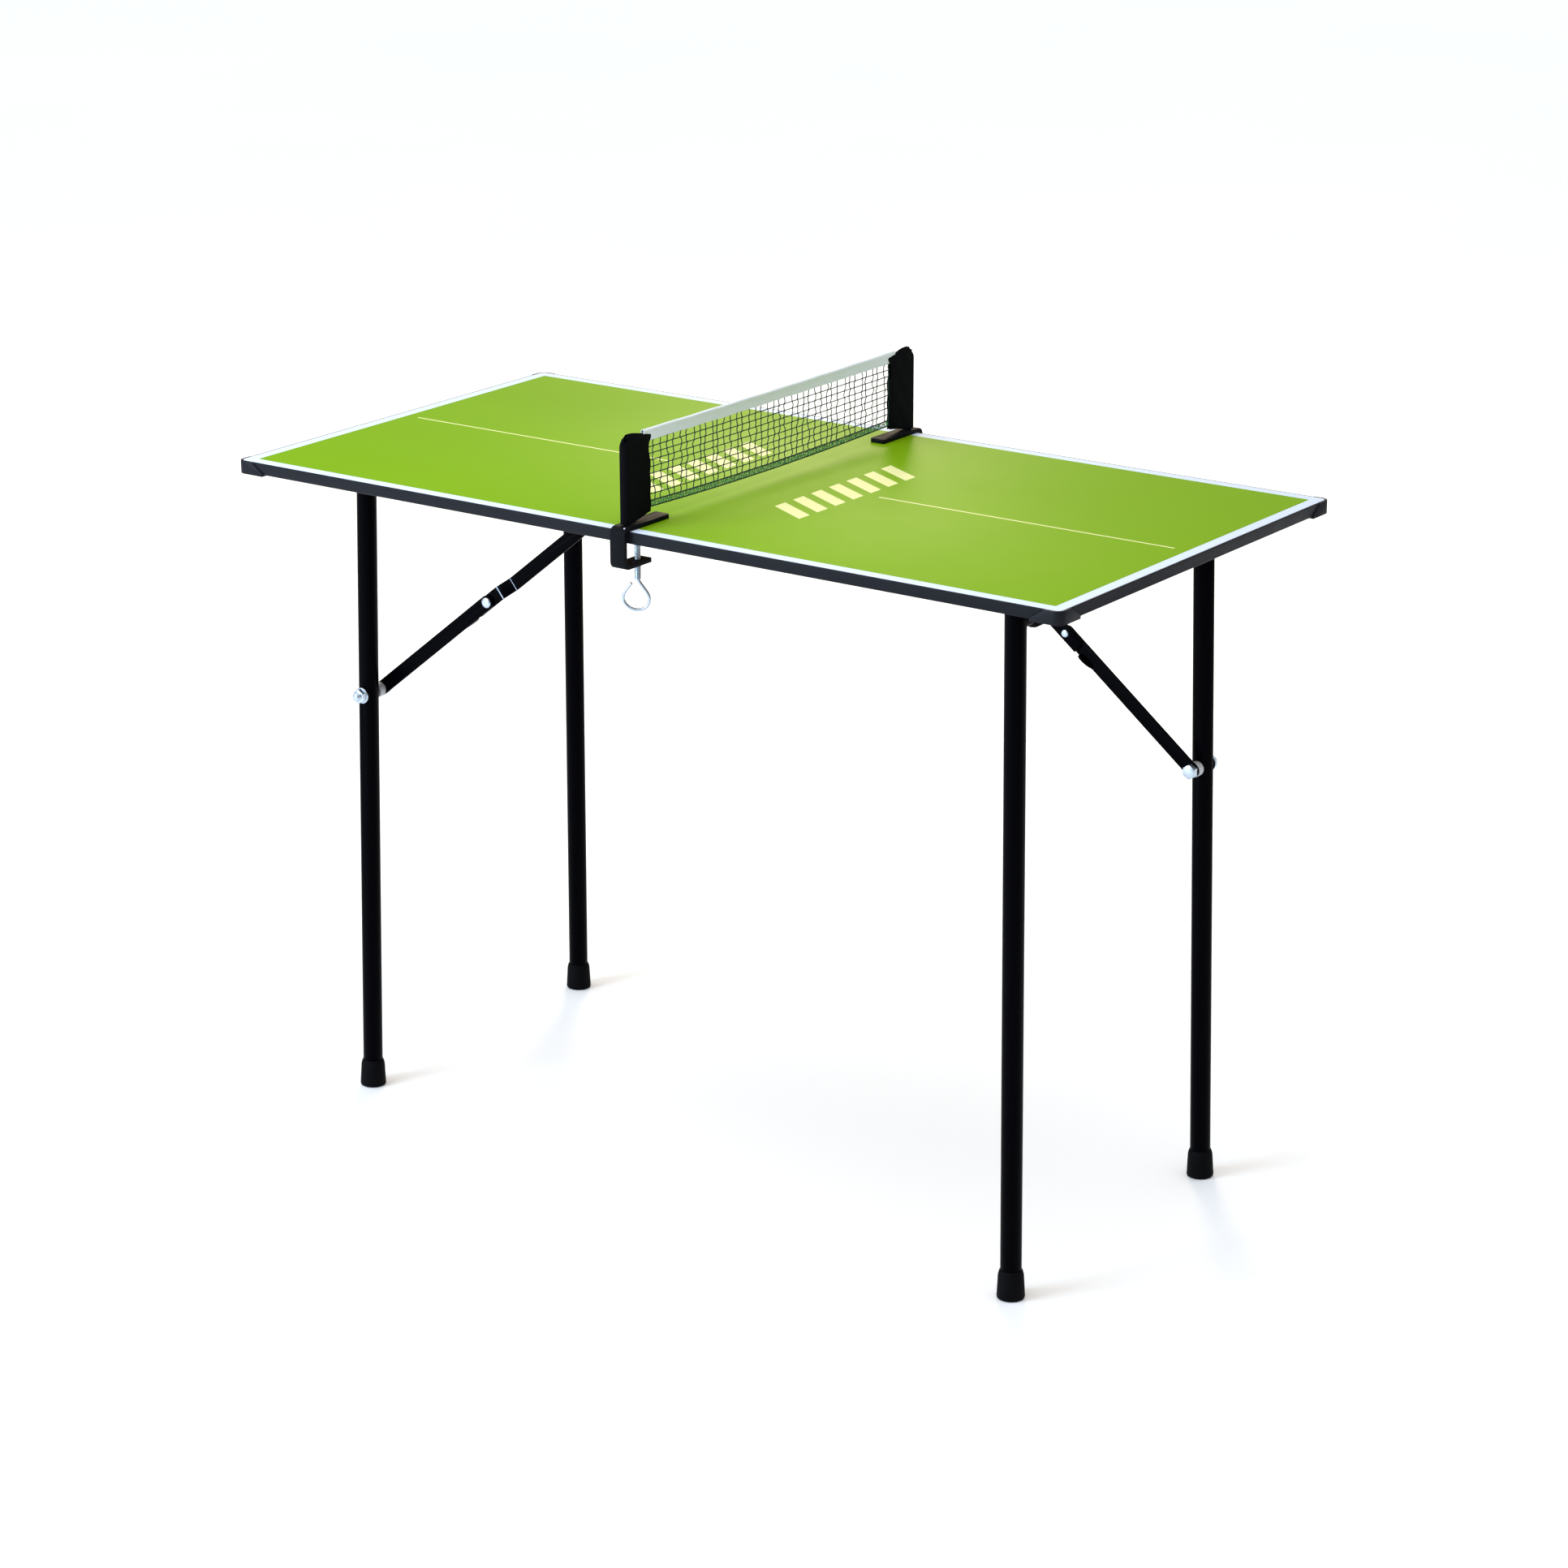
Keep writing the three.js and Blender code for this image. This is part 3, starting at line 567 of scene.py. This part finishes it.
# %% Lips
BRACE_PLANE = -112.15 * MM
LIP = ((-22.8, -1.4), (-22.8, 3), (-26, 4.4), (-30, 4.4), (-35, 3.2), (-40.5, 0), (-40.5, -1.4))
LIP_EDGE, LIP_WALL = -6.65, 2.3


def lip_place(run, up, inwards, turn):
    """A point given along the link from the knee, across it and inwards, in millimetres."""
    x = (run * UPPER_RUN[0] - up * UPPER_RUN[1]) * MM - KNEE_SIDE[0]
    z = (run * UPPER_RUN[1] + up * UPPER_RUN[0]) * MM + KNEE_SIDE[1]
    return turn * x, turn * (BRACE_PLANE + inwards * MM), z


def lip_mesh(turn):
    bm = bmesh.new()
    lower, upper = (
        [bm.verts.new(lip_place(run, up, inwards, turn)) for run, inwards in LIP]
        for up in (LIP_EDGE, LIP_EDGE + LIP_WALL))
    bm.faces.new(lower)
    bm.faces.new(reversed(upper))
    for k in range(len(LIP)):
        bm.faces.new((lower[k - 1], lower[k], upper[k], upper[k - 1]))
    bmesh.ops.recalc_face_normals(bm, faces=bm.faces)
    bmesh.ops.bevel(bm, geom=bm.edges[:], offset=0.3 * MM, segments=2, profile=0.5, affect="EDGES")
    return bm


for side, turn in (("left", 1), ("right", -1)):
    place_piece(
        f"brace_lip_{side}", lip_mesh(turn), f"brace_lower_{side}", powder_coat, "frame_paint")
print("lips made")

# %% [markdown]
# ## Hexagon bolt and nut
# A hexagon head is turned from round bar, so its corners are cut by a cone and its flats meet that
# cone in small arcs. The same order works here: turn a chamfered disc, then slice six flats off it
# and close each cut. The nut has a round flange, and the bolt's thread stands out of it.

# %% Bolts, nuts and spacers
def closed_cut(bm, place, normal):
    """Slices off what lies beyond a plane and closes the cut."""
    cut = bmesh.ops.bisect_plane(
        bm, geom=bm.verts[:] + bm.edges[:] + bm.faces[:], plane_co=place, plane_no=normal,
        clear_outer=True, dist=1e-7)
    rim = [e for e in cut["geom_cut"] if isinstance(e, bmesh.types.BMEdge) and e.is_boundary]
    bmesh.ops.holes_fill(bm, edges=rim, sides=0)


def hexagon(across_flats, height):
    corner = across_flats / math.sqrt(3)
    drop = corner - across_flats / 2 + 0.15
    bm = turned([
        (0, 0), (corner, 0), (corner, height - drop * 0.6), (corner - drop, height),
        (0, height)], 48)
    for k in range(6):
        normal = Vector((math.cos(k * math.pi / 3), math.sin(k * math.pi / 3), 0))
        closed_cut(bm, normal * across_flats / 2 * MM, normal)
    return bm


def threaded(radius, pitch, length, steps=20):
    """A V thread: one tooth outline is spun while it climbs, then both ends are cut square."""
    bm = bmesh.new()
    depth = 0.42 * pitch
    tooth = [(radius - depth, 0), (radius, 0.4), (radius, 0.6), (radius - depth, 1)]
    points = [bm.verts.new((r * MM, 0, (h * pitch - pitch) * MM)) for r, h in tooth]
    edges = [bm.edges.new(pair) for pair in zip(points, points[1:])]
    turns = math.ceil(length / pitch) + 2
    bmesh.ops.spin(
        bm, geom=points + edges, cent=(0, 0, 0), axis=(0, 0, 1), angle=2 * math.pi * turns,
        steps=steps * turns, dvec=(0, 0, pitch * MM / steps), use_merge=False)
    bmesh.ops.remove_doubles(bm, verts=bm.verts, dist=0.004 * MM)
    bmesh.ops.recalc_face_normals(bm, faces=bm.faces)
    closed_cut(bm, (0, 0, length * MM), (0, 0, 1))
    closed_cut(bm, (0, 0, 0), (0, 0, -1))
    return bm


def joined(*parts):
    """Several meshes as one, each shell kept as it is."""
    whole = bmesh.new()
    for part in parts:
        mesh = bpy.data.meshes.new("part")
        part.to_mesh(mesh)
        part.free()
        whole.from_mesh(mesh)
        bpy.data.meshes.remove(mesh)
    return whole


BOLT_FLATS, BOLT_HEAD, SHANK_RADIUS = 12.1, 5.1, 3.5
THREAD_RADIUS, THREAD_PITCH = 3.85, 1.25
FLANGE = [(0, 0), (7.6, 0), (7.9, 0.4), (7.8, 1.0), (6.9, 1.7), (0, 1.7)]


def bolt_point(end):
    """The chamfered tip that closes a thread of the given length."""
    return turned([
        (3.6, end - 0.9), (3.3, end - 0.4), (2.6, end), (0, end), (0, end - 1.2), (3.0, end - 1.2),
        (3.6, end - 0.9)], 24)


for side, out in (("left", -1), ("right", 1)):
    bolt_low, bolt_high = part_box(f"brace_bolt_{side}")
    nut_low, nut_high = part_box(f"brace_nut_{side}")
    axis = middle(f"brace_bolt_{side}")
    head_seat = (bolt_high.y if out < 0 else bolt_low.y) + out * BOLT_HEAD * MM
    nut_seat = nut_high.y if out < 0 else nut_low.y
    tip = bolt_low.y if out < 0 else bolt_high.y
    shank_long = abs(nut_seat - head_seat) / MM
    shank = turned(
        [(0, 0), (SHANK_RADIUS, 0), (SHANK_RADIUS, shank_long), (0, shank_long)], 24)
    thread_from = nut_seat - out * 1.0 * MM
    thread_long = abs(tip - thread_from) / MM
    thread = joined(
        threaded(THREAD_RADIUS, THREAD_PITCH, thread_long - 0.8), bolt_point(thread_long))
    bolt = joined(
        aim(hexagon(BOLT_FLATS, BOLT_HEAD), (axis.x, head_seat, axis.z), (0, -out, 0)),
        aim(shank, (axis.x, head_seat - out * 0.1 * MM, axis.z), (0, out, 0)),
        aim(thread, (axis.x, thread_from, axis.z), (0, out, 0)))
    place_piece(
        f"leg_bolt_{side}", bolt, f"leg_frame_{side}", zinc_plate, "zinc_steel",
        f"brace_bolt_{side}")
    nut = joined(hexagon(BOLT_FLATS, (nut_high.y - nut_low.y) / MM), turned(FLANGE, 40))
    place_piece(
        f"leg_nut_{side}", aim(nut, (axis.x, nut_seat, axis.z), (0, out, 0)),
        f"leg_frame_{side}", zinc_plate, "zinc_steel", f"brace_nut_{side}")
print("bolt head", round(BOLT_FLATS / math.sqrt(3) * 2, 2), "mm across its corners")

# %% [markdown]
# ## Pan head screws
# The screws under the board have a cross recess. The head is a round rim that is lifted and drawn
# in. Its top loop is bridged to a plus-shaped loop, and the plus is then pushed down to a narrower
# floor, as the punch leaves it.

# %% Pan head screws
def plus_outline(reach, half):
    corner = [(reach, half), (half, half), (half, reach)]
    turns = [(1, 0, 0, 1), (0, -1, 1, 0), (-1, 0, 0, -1), (0, 1, -1, 0)]
    return [(a * x + b * y, c * x + d * y) for a, b, c, d in turns for x, y in corner]


def lift_loop(bm, edges, scale, rise):
    """Extrudes a loop of edges, scales it about Z and lifts it, in millimetres."""
    made = bmesh.ops.extrude_edge_only(bm, edges=edges)["geom"]
    verts = [g for g in made if isinstance(g, bmesh.types.BMVert)]
    bmesh.ops.scale(bm, vec=(scale, scale, 1), verts=verts)
    bmesh.ops.translate(bm, vec=(0, 0, rise * MM), verts=verts)
    return [g for g in made if isinstance(g, bmesh.types.BMEdge)]


def pan_head(radius, height, shank_radius, shank_long):
    bm = bmesh.new()
    rim = bmesh.ops.create_circle(bm, cap_ends=False, segments=24, radius=radius * MM)["verts"]
    rim_edges = list({e for v in rim for e in v.link_edges})
    top = lift_loop(bm, rim_edges, 1.0, height * 0.35)
    top = lift_loop(bm, top, 0.94, height * 0.35)
    top = lift_loop(bm, top, 0.8, height * 0.3)
    cross = plus_outline(radius * 0.5, radius * 0.13)
    plus = [bm.verts.new((x * MM, y * MM, height * MM)) for x, y in cross]
    plus_edges = [bm.edges.new((a, b)) for a, b in zip(plus, plus[1:] + plus[:1])]
    bmesh.ops.bridge_loops(bm, edges=top + plus_edges)
    floor_edges = lift_loop(bm, plus_edges, 0.55, -height * 0.62)
    bmesh.ops.holes_fill(bm, edges=floor_edges, sides=0)
    bottom = lift_loop(bm, rim_edges, shank_radius / radius, 0)
    bottom = lift_loop(bm, bottom, 1.0, -shank_long)
    bmesh.ops.holes_fill(bm, edges=bottom, sides=0)
    bmesh.ops.recalc_face_normals(bm, faces=bm.faces)
    return bm


BLOCK_HEAD, BLOCK_SHANK = 2.4, 1.9
BRACKET_SCREW = {"radius": 3.6, "height": 2.0, "shank_radius": 1.8, "shank_long": 7}
BRACKET_REACH = 14 * MM
for side in ("left", "right"):
    for k in range(1, 5):
        node = f"block_screw_{side}_{k}"
        low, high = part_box(node)
        spot = middle(node)
        shank_long = (high.z - low.z) / MM - BLOCK_HEAD
        screw = pan_head((high.x - low.x) / 2 / MM, BLOCK_HEAD, BLOCK_SHANK, shank_long)
        bmesh.ops.transform(screw, matrix=Matrix.Rotation(0.5 * k, 4, "Z"), verts=screw.verts)
        place_piece(
            f"{node}_head", aim(screw, (spot.x, spot.y, low.z + BLOCK_HEAD * MM), (0, 0, -1)),
            "tabletop", zinc_plate, "zinc_steel", node)
    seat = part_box(f"brace_bracket_{side}")[1].z - 2 * MM
    spot = middle(f"brace_bracket_{side}")
    for end in (-1, 1):
        x = spot.x + end * BRACKET_REACH
        screw = aim(pan_head(**BRACKET_SCREW), (x, spot.y, seat), (0, 0, -1))
        place = "outer" if end * spot.x > 0 else "inner"
        place_piece(f"bracket_screw_{side}_{place}", screw, "tabletop", zinc_plate, "zinc_steel")
print("screws made")

# %% [markdown]
# ## Small rivets
# The upper link turns on a rivet in the bracket's ear. Two small bright rivets hold each net post
# to its clamp.

# %% Small rivets
def pin_outline(half):
    """A rivet with a wide head at one end and a burred tail at the other, middle at zero."""
    return [
        (0, half), (2.4, half - 0.05), (4.2, half - 0.35), (5.2, half - 1.0), (5.0, half - 1.25),
        (2.6, half - 1.3), (2.6, 1.3 - half), (4.6, 1.25 - half), (4.6, 0.9 - half),
        (3.4, 0.15 - half), (0, -half)]


for side, out in (("left", -1), ("right", 1)):
    low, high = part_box(f"bracket_rivet_{side}")
    pin = turned(pin_outline((high.y - low.y) / 2 / MM))
    place_piece(
        f"bracket_pin_{side}", aim(pin, middle(f"bracket_rivet_{side}"), (0, out, 0)), "tabletop",
        zinc_plate, "zinc_steel", f"bracket_rivet_{side}")

POST_RIVET = [(0, 0.55), (0.5, 0.5), (0.85, 0.25), (0.95, 0), (0.95, -1), (0, -1)]
POST_RIVET_SPOTS = [(-5.6, -218.5), (5.6, -230.2)]
CLAMP_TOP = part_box("clamp_bracket_near")[1].z / MM - 0.3
for end, turn in (("near", 1), ("far", -1)):
    for k, (x, y) in enumerate(POST_RIVET_SPOTS):
        spot = (x * turn * MM, y * turn * MM, CLAMP_TOP * MM)
        speck = aim(turned(POST_RIVET, 16), spot, (0, 0, 1))
        place_piece(f"post_rivet_{end}_{k + 1}", speck, "tabletop", zinc_plate, "zinc_steel")
print("rivets made")

# %% [markdown]
# ## Clamp screws
# Each clamp closes with a threaded rod. Its lower end is bent into an open finger loop, so the loop
# is a wire that leaves the rod, goes round and stops beside it. A curve with a round bevel makes a
# bent wire directly. It is turned into a mesh and joined to the spun thread.

# %% Clamp screws
def wire(paths, radius, sides=8, smooth=True):
    """Round wires along paths of points in millimetres, with closed ends."""
    curve = bpy.data.curves.new("wire", "CURVE")
    curve.dimensions = "3D"
    curve.bevel_depth = radius * MM
    curve.bevel_resolution = max(0, (sides - 4) // 2)
    curve.use_fill_caps = True
    curve.resolution_u = 5
    for path in paths:
        spline = curve.splines.new("NURBS" if smooth else "POLY")
        spline.points.add(len(path) - 1)
        for point, place in zip(spline.points, path):
            point.co = (place[0] * MM, place[1] * MM, place[2] * MM, 1)
        if smooth:
            spline.order_u = 4
            spline.use_endpoint_u = True
    holder = bpy.data.objects.new("wire", curve)
    scene.collection.objects.link(holder)
    solved = holder.evaluated_get(bpy.context.evaluated_depsgraph_get())
    mesh = bpy.data.meshes.new_from_object(solved)
    bpy.data.objects.remove(holder)
    bm = bmesh.new()
    bm.from_mesh(mesh)
    bpy.data.meshes.remove(mesh)
    bmesh.ops.remove_doubles(bm, verts=bm.verts, dist=0.002 * MM)
    bmesh.ops.recalc_face_normals(bm, faces=bm.faces)
    return bm


ROD_RADIUS, ROD_PITCH, ROD_FOOT = 2.85, 1.0, 594.5
ROD_NECK = [(0, 0), (1.7, 0), (2.3, 0.6), (2.3, 3), (0, 3)]
LOOP_TURN, LOOP_WIRE = math.radians(24), 1.5
LOOP_PATH = [
    (0, 600), (0, 596.5), (0.2, 594), (1.6, 591.3), (4.6, 587.4), (7.6, 583.4), (9.8, 579.8),
    (10.6, 575.8), (9.3, 571.2), (5.6, 567.4), (0.6, 565.8), (-4.6, 566.2), (-9.2, 568.4),
    (-12.6, 572), (-13.9, 576.2), (-13.0, 580.6), (-10.4, 584.6), (-7.9, 587.8), (-5.9, 590.4)]
for end, turn in (("near", 1), ("far", -1)):
    axis = middle(f"clamp_screw_{end}")
    rod_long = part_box(f"clamp_screw_{end}")[1].z / MM - ROD_FOOT - 0.1
    rod = threaded(ROD_RADIUS, ROD_PITCH, rod_long)
    rod = aim(rod, (axis.x, axis.y, ROD_FOOT * MM), (0, 0, 1))
    neck = aim(turned(ROD_NECK, 20), (axis.x, axis.y, (ROD_FOOT - 0.9) * MM), (0, 0, 1))
    path = [(s * math.cos(LOOP_TURN), s * math.sin(LOOP_TURN), z) for s, z in LOOP_PATH]
    loop = wire([path], LOOP_WIRE, 14)
    if turn < 0:
        half_turn(loop)
    bmesh.ops.translate(loop, vec=(axis.x, axis.y, 0), verts=loop.verts)
    place_piece(
        f"clamp_rod_{end}", joined(rod, neck, loop), f"clamp_screw_{end}", zinc_plate,
        "zinc_steel", f"clamp_screw_{end}")
print("loops turned by", round(math.degrees(LOOP_TURN)), "degrees")

# %% [markdown]
# ## The net
# The net is knotted from cord. Its rows are pulled straight by the posts, and the columns between
# them are slack, so each column wanders a little from knot to knot. Along the foot, short threads
# zigzag between two stronger cords and make a dense green edging. Every cord is real geometry, so
# the board shows through the holes from any side. A small knot sits on each crossing.

# %% Net cords
random.seed(11)
NET_HALF = 188.0
NET_TOP, NET_FOOT = 716.4, 654.6
EDGING, EDGING_STEPS = 5.4, 235
ROWS, COLUMNS = 10, 40
SAG = 3.4
ROW_CORD, COLUMN_CORD, HEM_CORD, EDGING_CORD = 0.47, 0.48, 0.62, 0.29
KNOT = (0.85, 0.95, 0.8)


def beads(points, slant, size):
    """Small capsules at points: size along X, Y and Z in millimetres, turned by slant about X."""
    bm = bmesh.new()
    stretch = Matrix.Rotation(slant, 4, "X") @ Matrix.Diagonal((*(s * MM for s in size), 1))
    for point in points:
        bmesh.ops.create_icosphere(
            bm, subdivisions=1, radius=1,
            matrix=Matrix.Translation([c * MM for c in point]) @ stretch)
    return bm


def sagged(y, z):
    """The foot of the net hangs lower between the sleeves than at them."""
    share = (NET_TOP - z) / (NET_TOP - NET_FOOT)
    return z - SAG * share * max(0, 1 - (y / NET_HALF) ** 2) + SAG * share * 0.55


def net_rows():
    step = (NET_TOP - NET_FOOT - EDGING) / (ROWS - 1)
    return [NET_TOP - k * step for k in range(ROWS)] + [NET_FOOT]


def row_path(z):
    ys = [-NET_HALF + 2 * NET_HALF * k / 90 for k in range(91)]
    drift = [random.uniform(-0.12, 0.12) for _ in ys]
    return [(d * 0.6, y, sagged(y, z) + d) for y, d in zip(ys, drift)]


rows = net_rows()
columns, knots = [], []
for k in range(COLUMNS + 1):
    start = -NET_HALF + 2 * NET_HALF * (k + 0.5 * random.uniform(-0.35, 0.35)) / COLUMNS
    path, y = [], start
    for row, (above, below) in enumerate(zip(rows[:ROWS], rows[1:ROWS + 1])):
        knots.append((0, y, sagged(y, above)))
        target = start + random.uniform(-1.5, 1.5)
        bow = random.uniform(-1.3, 1.3)
        if row == ROWS - 1:
            break
        for part in range(4):
            t = part / 4
            there = y + (target - y) * t + bow * math.sin(math.pi * t)
            height = sagged(there, above + (below - above) * t)
            path.append((0.25 * math.sin(7 * t + k), there, height))
        y = target
    path.append((0, y, sagged(y, rows[ROWS - 1])))
    columns.append([p for p in path if abs(p[1]) < NET_HALF + 2])

edging = []
for k in range(EDGING_STEPS + 1):
    y = -NET_HALF + 2 * NET_HALF * k / EDGING_STEPS + random.uniform(-0.35, 0.35)
    z = rows[ROWS - 1] if k % 2 else NET_FOOT
    edging.append((random.uniform(-0.45, 0.45), y, sagged(y, z)))
second = [(-x, y + 1.1 + random.uniform(-0.3, 0.3), z) for x, y, z in edging[:-1]]

row_cords = wire([row_path(z) for z in rows[:ROWS - 1]], ROW_CORD, 6, smooth=False)
hem_cords = wire([row_path(z) for z in rows[ROWS - 1:]], HEM_CORD, 6, smooth=False)
column_cords = wire(columns, COLUMN_CORD, 6, smooth=False)
place_piece(
    "net_cords", joined(row_cords, column_cords, beads(knots, 0, KNOT)), "tabletop", net_cord,
    "net_cord", "net_panel", smooth=70)
place_piece("net_hem_cords", hem_cords, "tabletop", net_cord, "net_cord", smooth=70)
print(len(columns), "columns,", len(knots), "knots, cell", round(2 * NET_HALF / COLUMNS, 1), "by",
      round(rows[0] - rows[1], 1), "mm")


# %% Net edging
def edging_look():
    look = Look("net_edging_green", shade("1f6b3c"), 0.8)
    look.feed(Base_Color=look.blend(look.noise(90, 3), shade("144a2a"), shade("37914f")))
    x, y, z = look.axes()
    look.bump(abs((y + z).wave(1.1 * MM)), 0.08 * MM, 0.6)
    return look.material


place_piece(
    "net_edging", wire([edging, second], EDGING_CORD, 6, smooth=False), "tabletop", edging_look(),
    "net_cord", smooth=70)
print(len(edging), "edging stitches")

# %% [markdown]
# ## Cloth tape
# A white tape is folded over the net's head cord and sewn below it. Seen from its end it is a small
# tube with two legs. A strip of grid is rolled to that outline, and a wall thickness is added, so
# the open ends show the fold and the cord inside.

# %% Tape
TAPE_HALF = 196.0
TAPE_TOP, TAPE_FOOT = 727.4, 716.6
TUBE, TAPE_GAP, TAPE_SAG, TAPE_WALL = 1.35, 0.55, 0.8, 0.3
TAPE_LEG = TAPE_TOP - TUBE - TAPE_FOOT
TAPE_FLAT = 2 * TAPE_LEG + math.pi * TUBE


def tape_outline(share):
    """Where the cloth is across the fold: share runs from the front hem over to the back."""
    run = share * TAPE_FLAT
    if run < TAPE_LEG:
        return TAPE_GAP + (TUBE - TAPE_GAP) * (run / TAPE_LEG) ** 3, TAPE_FOOT + run
    if run > TAPE_FLAT - TAPE_LEG:
        rise = (TAPE_FLAT - run) / TAPE_LEG
        return -TAPE_GAP - (TUBE - TAPE_GAP) * rise ** 3, TAPE_FOOT + TAPE_FLAT - run
    angle = (run - TAPE_LEG) / TUBE
    return TUBE * math.cos(angle), TAPE_TOP - TUBE + TUBE * math.sin(angle)


def tape_dip(y):
    """How far the tape hangs down between the posts."""
    return TAPE_SAG * (1 - (y / TAPE_HALF) ** 2)


def tape_wave(y):
    return 0.22 * math.sin(y * 0.19) * math.sin(y * 0.043 + 1)


def rolled(across, along, mapping):
    """A grid whose two shares are moved to where mapping puts them."""
    bm = bmesh.new()
    bmesh.ops.create_grid(bm, x_segments=across, y_segments=along, size=1)
    for vert in bm.verts:
        vert.co = Vector(mapping(vert.co.x / 2 + 0.5, vert.co.y / 2 + 0.5)) * MM
    bmesh.ops.recalc_face_normals(bm, faces=bm.faces)
    return bm


def walled(bm, thickness):
    bmesh.ops.solidify(bm, geom=bm.faces[:], thickness=thickness * MM)
    bmesh.ops.recalc_face_normals(bm, faces=bm.faces)
    return bm


def tape_place(across, along):
    y = -TAPE_HALF + 2 * TAPE_HALF * along
    x, z = tape_outline(across)
    ripple = tape_wave(y) * (TAPE_TOP - z) / 10
    return x + ripple, y, z - tape_dip(y) + 0.15 * math.sin(y * 0.11)


tape = place_piece(
    "tape_band", walled(rolled(26, 200, tape_place), TAPE_WALL), "tabletop", tape_cloth,
    "net_tape", "net_tape", smooth=60)
head_cord = [(0, y, TAPE_TOP - TUBE - tape_dip(y)) for y in range(-195, 196, 13)]
place_piece("head_cord", wire([head_cord], 0.8, 10), "tabletop", net_cord, "net_cord", smooth=70)


TAPE_STITCH = (0.22, 0.85, 0.2)
seam = [
    (face * 0.86 + tape_wave(y) * 0.9, y, TAPE_FOOT + 2.0 - tape_dip(y))
    for face in (-1, 1) for y in [k * 2.6 for k in range(-71, 72)]]
place_piece(
    "tape_stitches", beads(seam, 0, TAPE_STITCH), "tabletop", tape_cloth, "net_tape", smooth=80)
print("tape is", round(TAPE_FLAT, 1), "mm wide when flat")

# %% [markdown]
# ## Cloth sleeves
# A black sleeve holds each end of the net. It is one piece of cloth that goes round the post and is
# sewn to itself beside the net. It is round at the post and flat at the seam. Its head is sewn shut
# and slopes up to the post, where the corner is pulled off square.

# %% Sleeves
SEAM_Y, POST_Y, OUTER_Y = 187.0, 221.6, 225.6
ROUND, HEM, SLEEVE_WALL = 4.0, 1.1, 0.55
FLAT_RUN = POST_Y - SEAM_Y
SLEEVE_FLAT = 2 * FLAT_RUN + math.pi * ROUND
SLEEVE_FOOT, SLEEVE_HEAD = 652.6, 723.0
SEAM_STITCH, HEM_STITCH = (0.25, 0.8, 0.2), (0.3, 0.8, 0.2)


def eased(value):
    value = min(1, max(0, value))
    return value * value * (3 - 2 * value)


def half_gap(near):
    """Half the space inside the sleeve: near is 0 at the seam and 1 at the post."""
    return HEM + (ROUND - HEM) * near ** 0.75


def sleeve_outline(share):
    """Across the wrap: from the front seam round the post to the back seam."""
    run = share * SLEEVE_FLAT
    if run < FLAT_RUN:
        return half_gap(run / FLAT_RUN), SEAM_Y + run
    if run > SLEEVE_FLAT - FLAT_RUN:
        left = SLEEVE_FLAT - run
        return -half_gap(left / FLAT_RUN), SEAM_Y + left
    angle = (run - FLAT_RUN) / ROUND
    return ROUND * math.cos(angle), POST_Y + ROUND * math.sin(angle)


def sleeve_place(across, along):
    x, y = sleeve_outline(across)
    inward = (y - SEAM_Y) / (OUTER_Y - SEAM_Y)
    foot = SLEEVE_FOOT - 4.4 * eased(inward * 1.2)
    head = SLEEVE_HEAD + 4.2 * eased(inward / 0.76) - 7.5 * max(0, (inward - 0.84) / 0.16)
    z = foot + (head - foot) * along
    pull = 2.2 * math.exp(-((z - 711.5) / 7) ** 2) - 3.2 * eased((z - 714) / 8)
    y += (pull + 0.5 * math.sin(z * 0.35)) * (1 - inward) ** 1.5
    closing = 1 - 0.86 * eased((along - 0.94) / 0.06)
    crease = 0.35 * math.sin(z * 0.21 + y * 0.33) * math.sin(math.pi * min(1, inward * 1.2))
    if x <= 0:
        crease = -crease
    return x * closing + crease * (1 - abs(2 * across - 1) * 0.4), -y, z


seam = [(face * 2.1, -(SEAM_Y + 3.4), 656 + 2.5 * k) for face in (-1, 1) for k in range(22)]
hem = [
    (face * (3.1 + 0.03 * k), -(194 + 2.5 * k), 654.6 - 0.32 * k)
    for face in (-1, 1) for k in range(11)]
for end in ("near", "far"):
    cloth = walled(rolled(56, 44, sleeve_place), SLEEVE_WALL)
    stitches = joined(beads(seam, math.pi / 2, SEAM_STITCH), beads(hem, 0.13, HEM_STITCH))
    if end == "far":
        half_turn(cloth)
        half_turn(stitches)
    sleeve = place_piece(
        f"sleeve_{end}", cloth, "tabletop", sleeve_cloth, "sleeve_cloth", f"net_sleeve_{end}",
        smooth=60)
    place_piece(
        f"sleeve_stitches_{end}", stitches, "tabletop", sleeve_cloth, "sleeve_cloth", smooth=80)
print("sleeve cloth is", round(SLEEVE_FLAT, 1), "mm wide when flat")
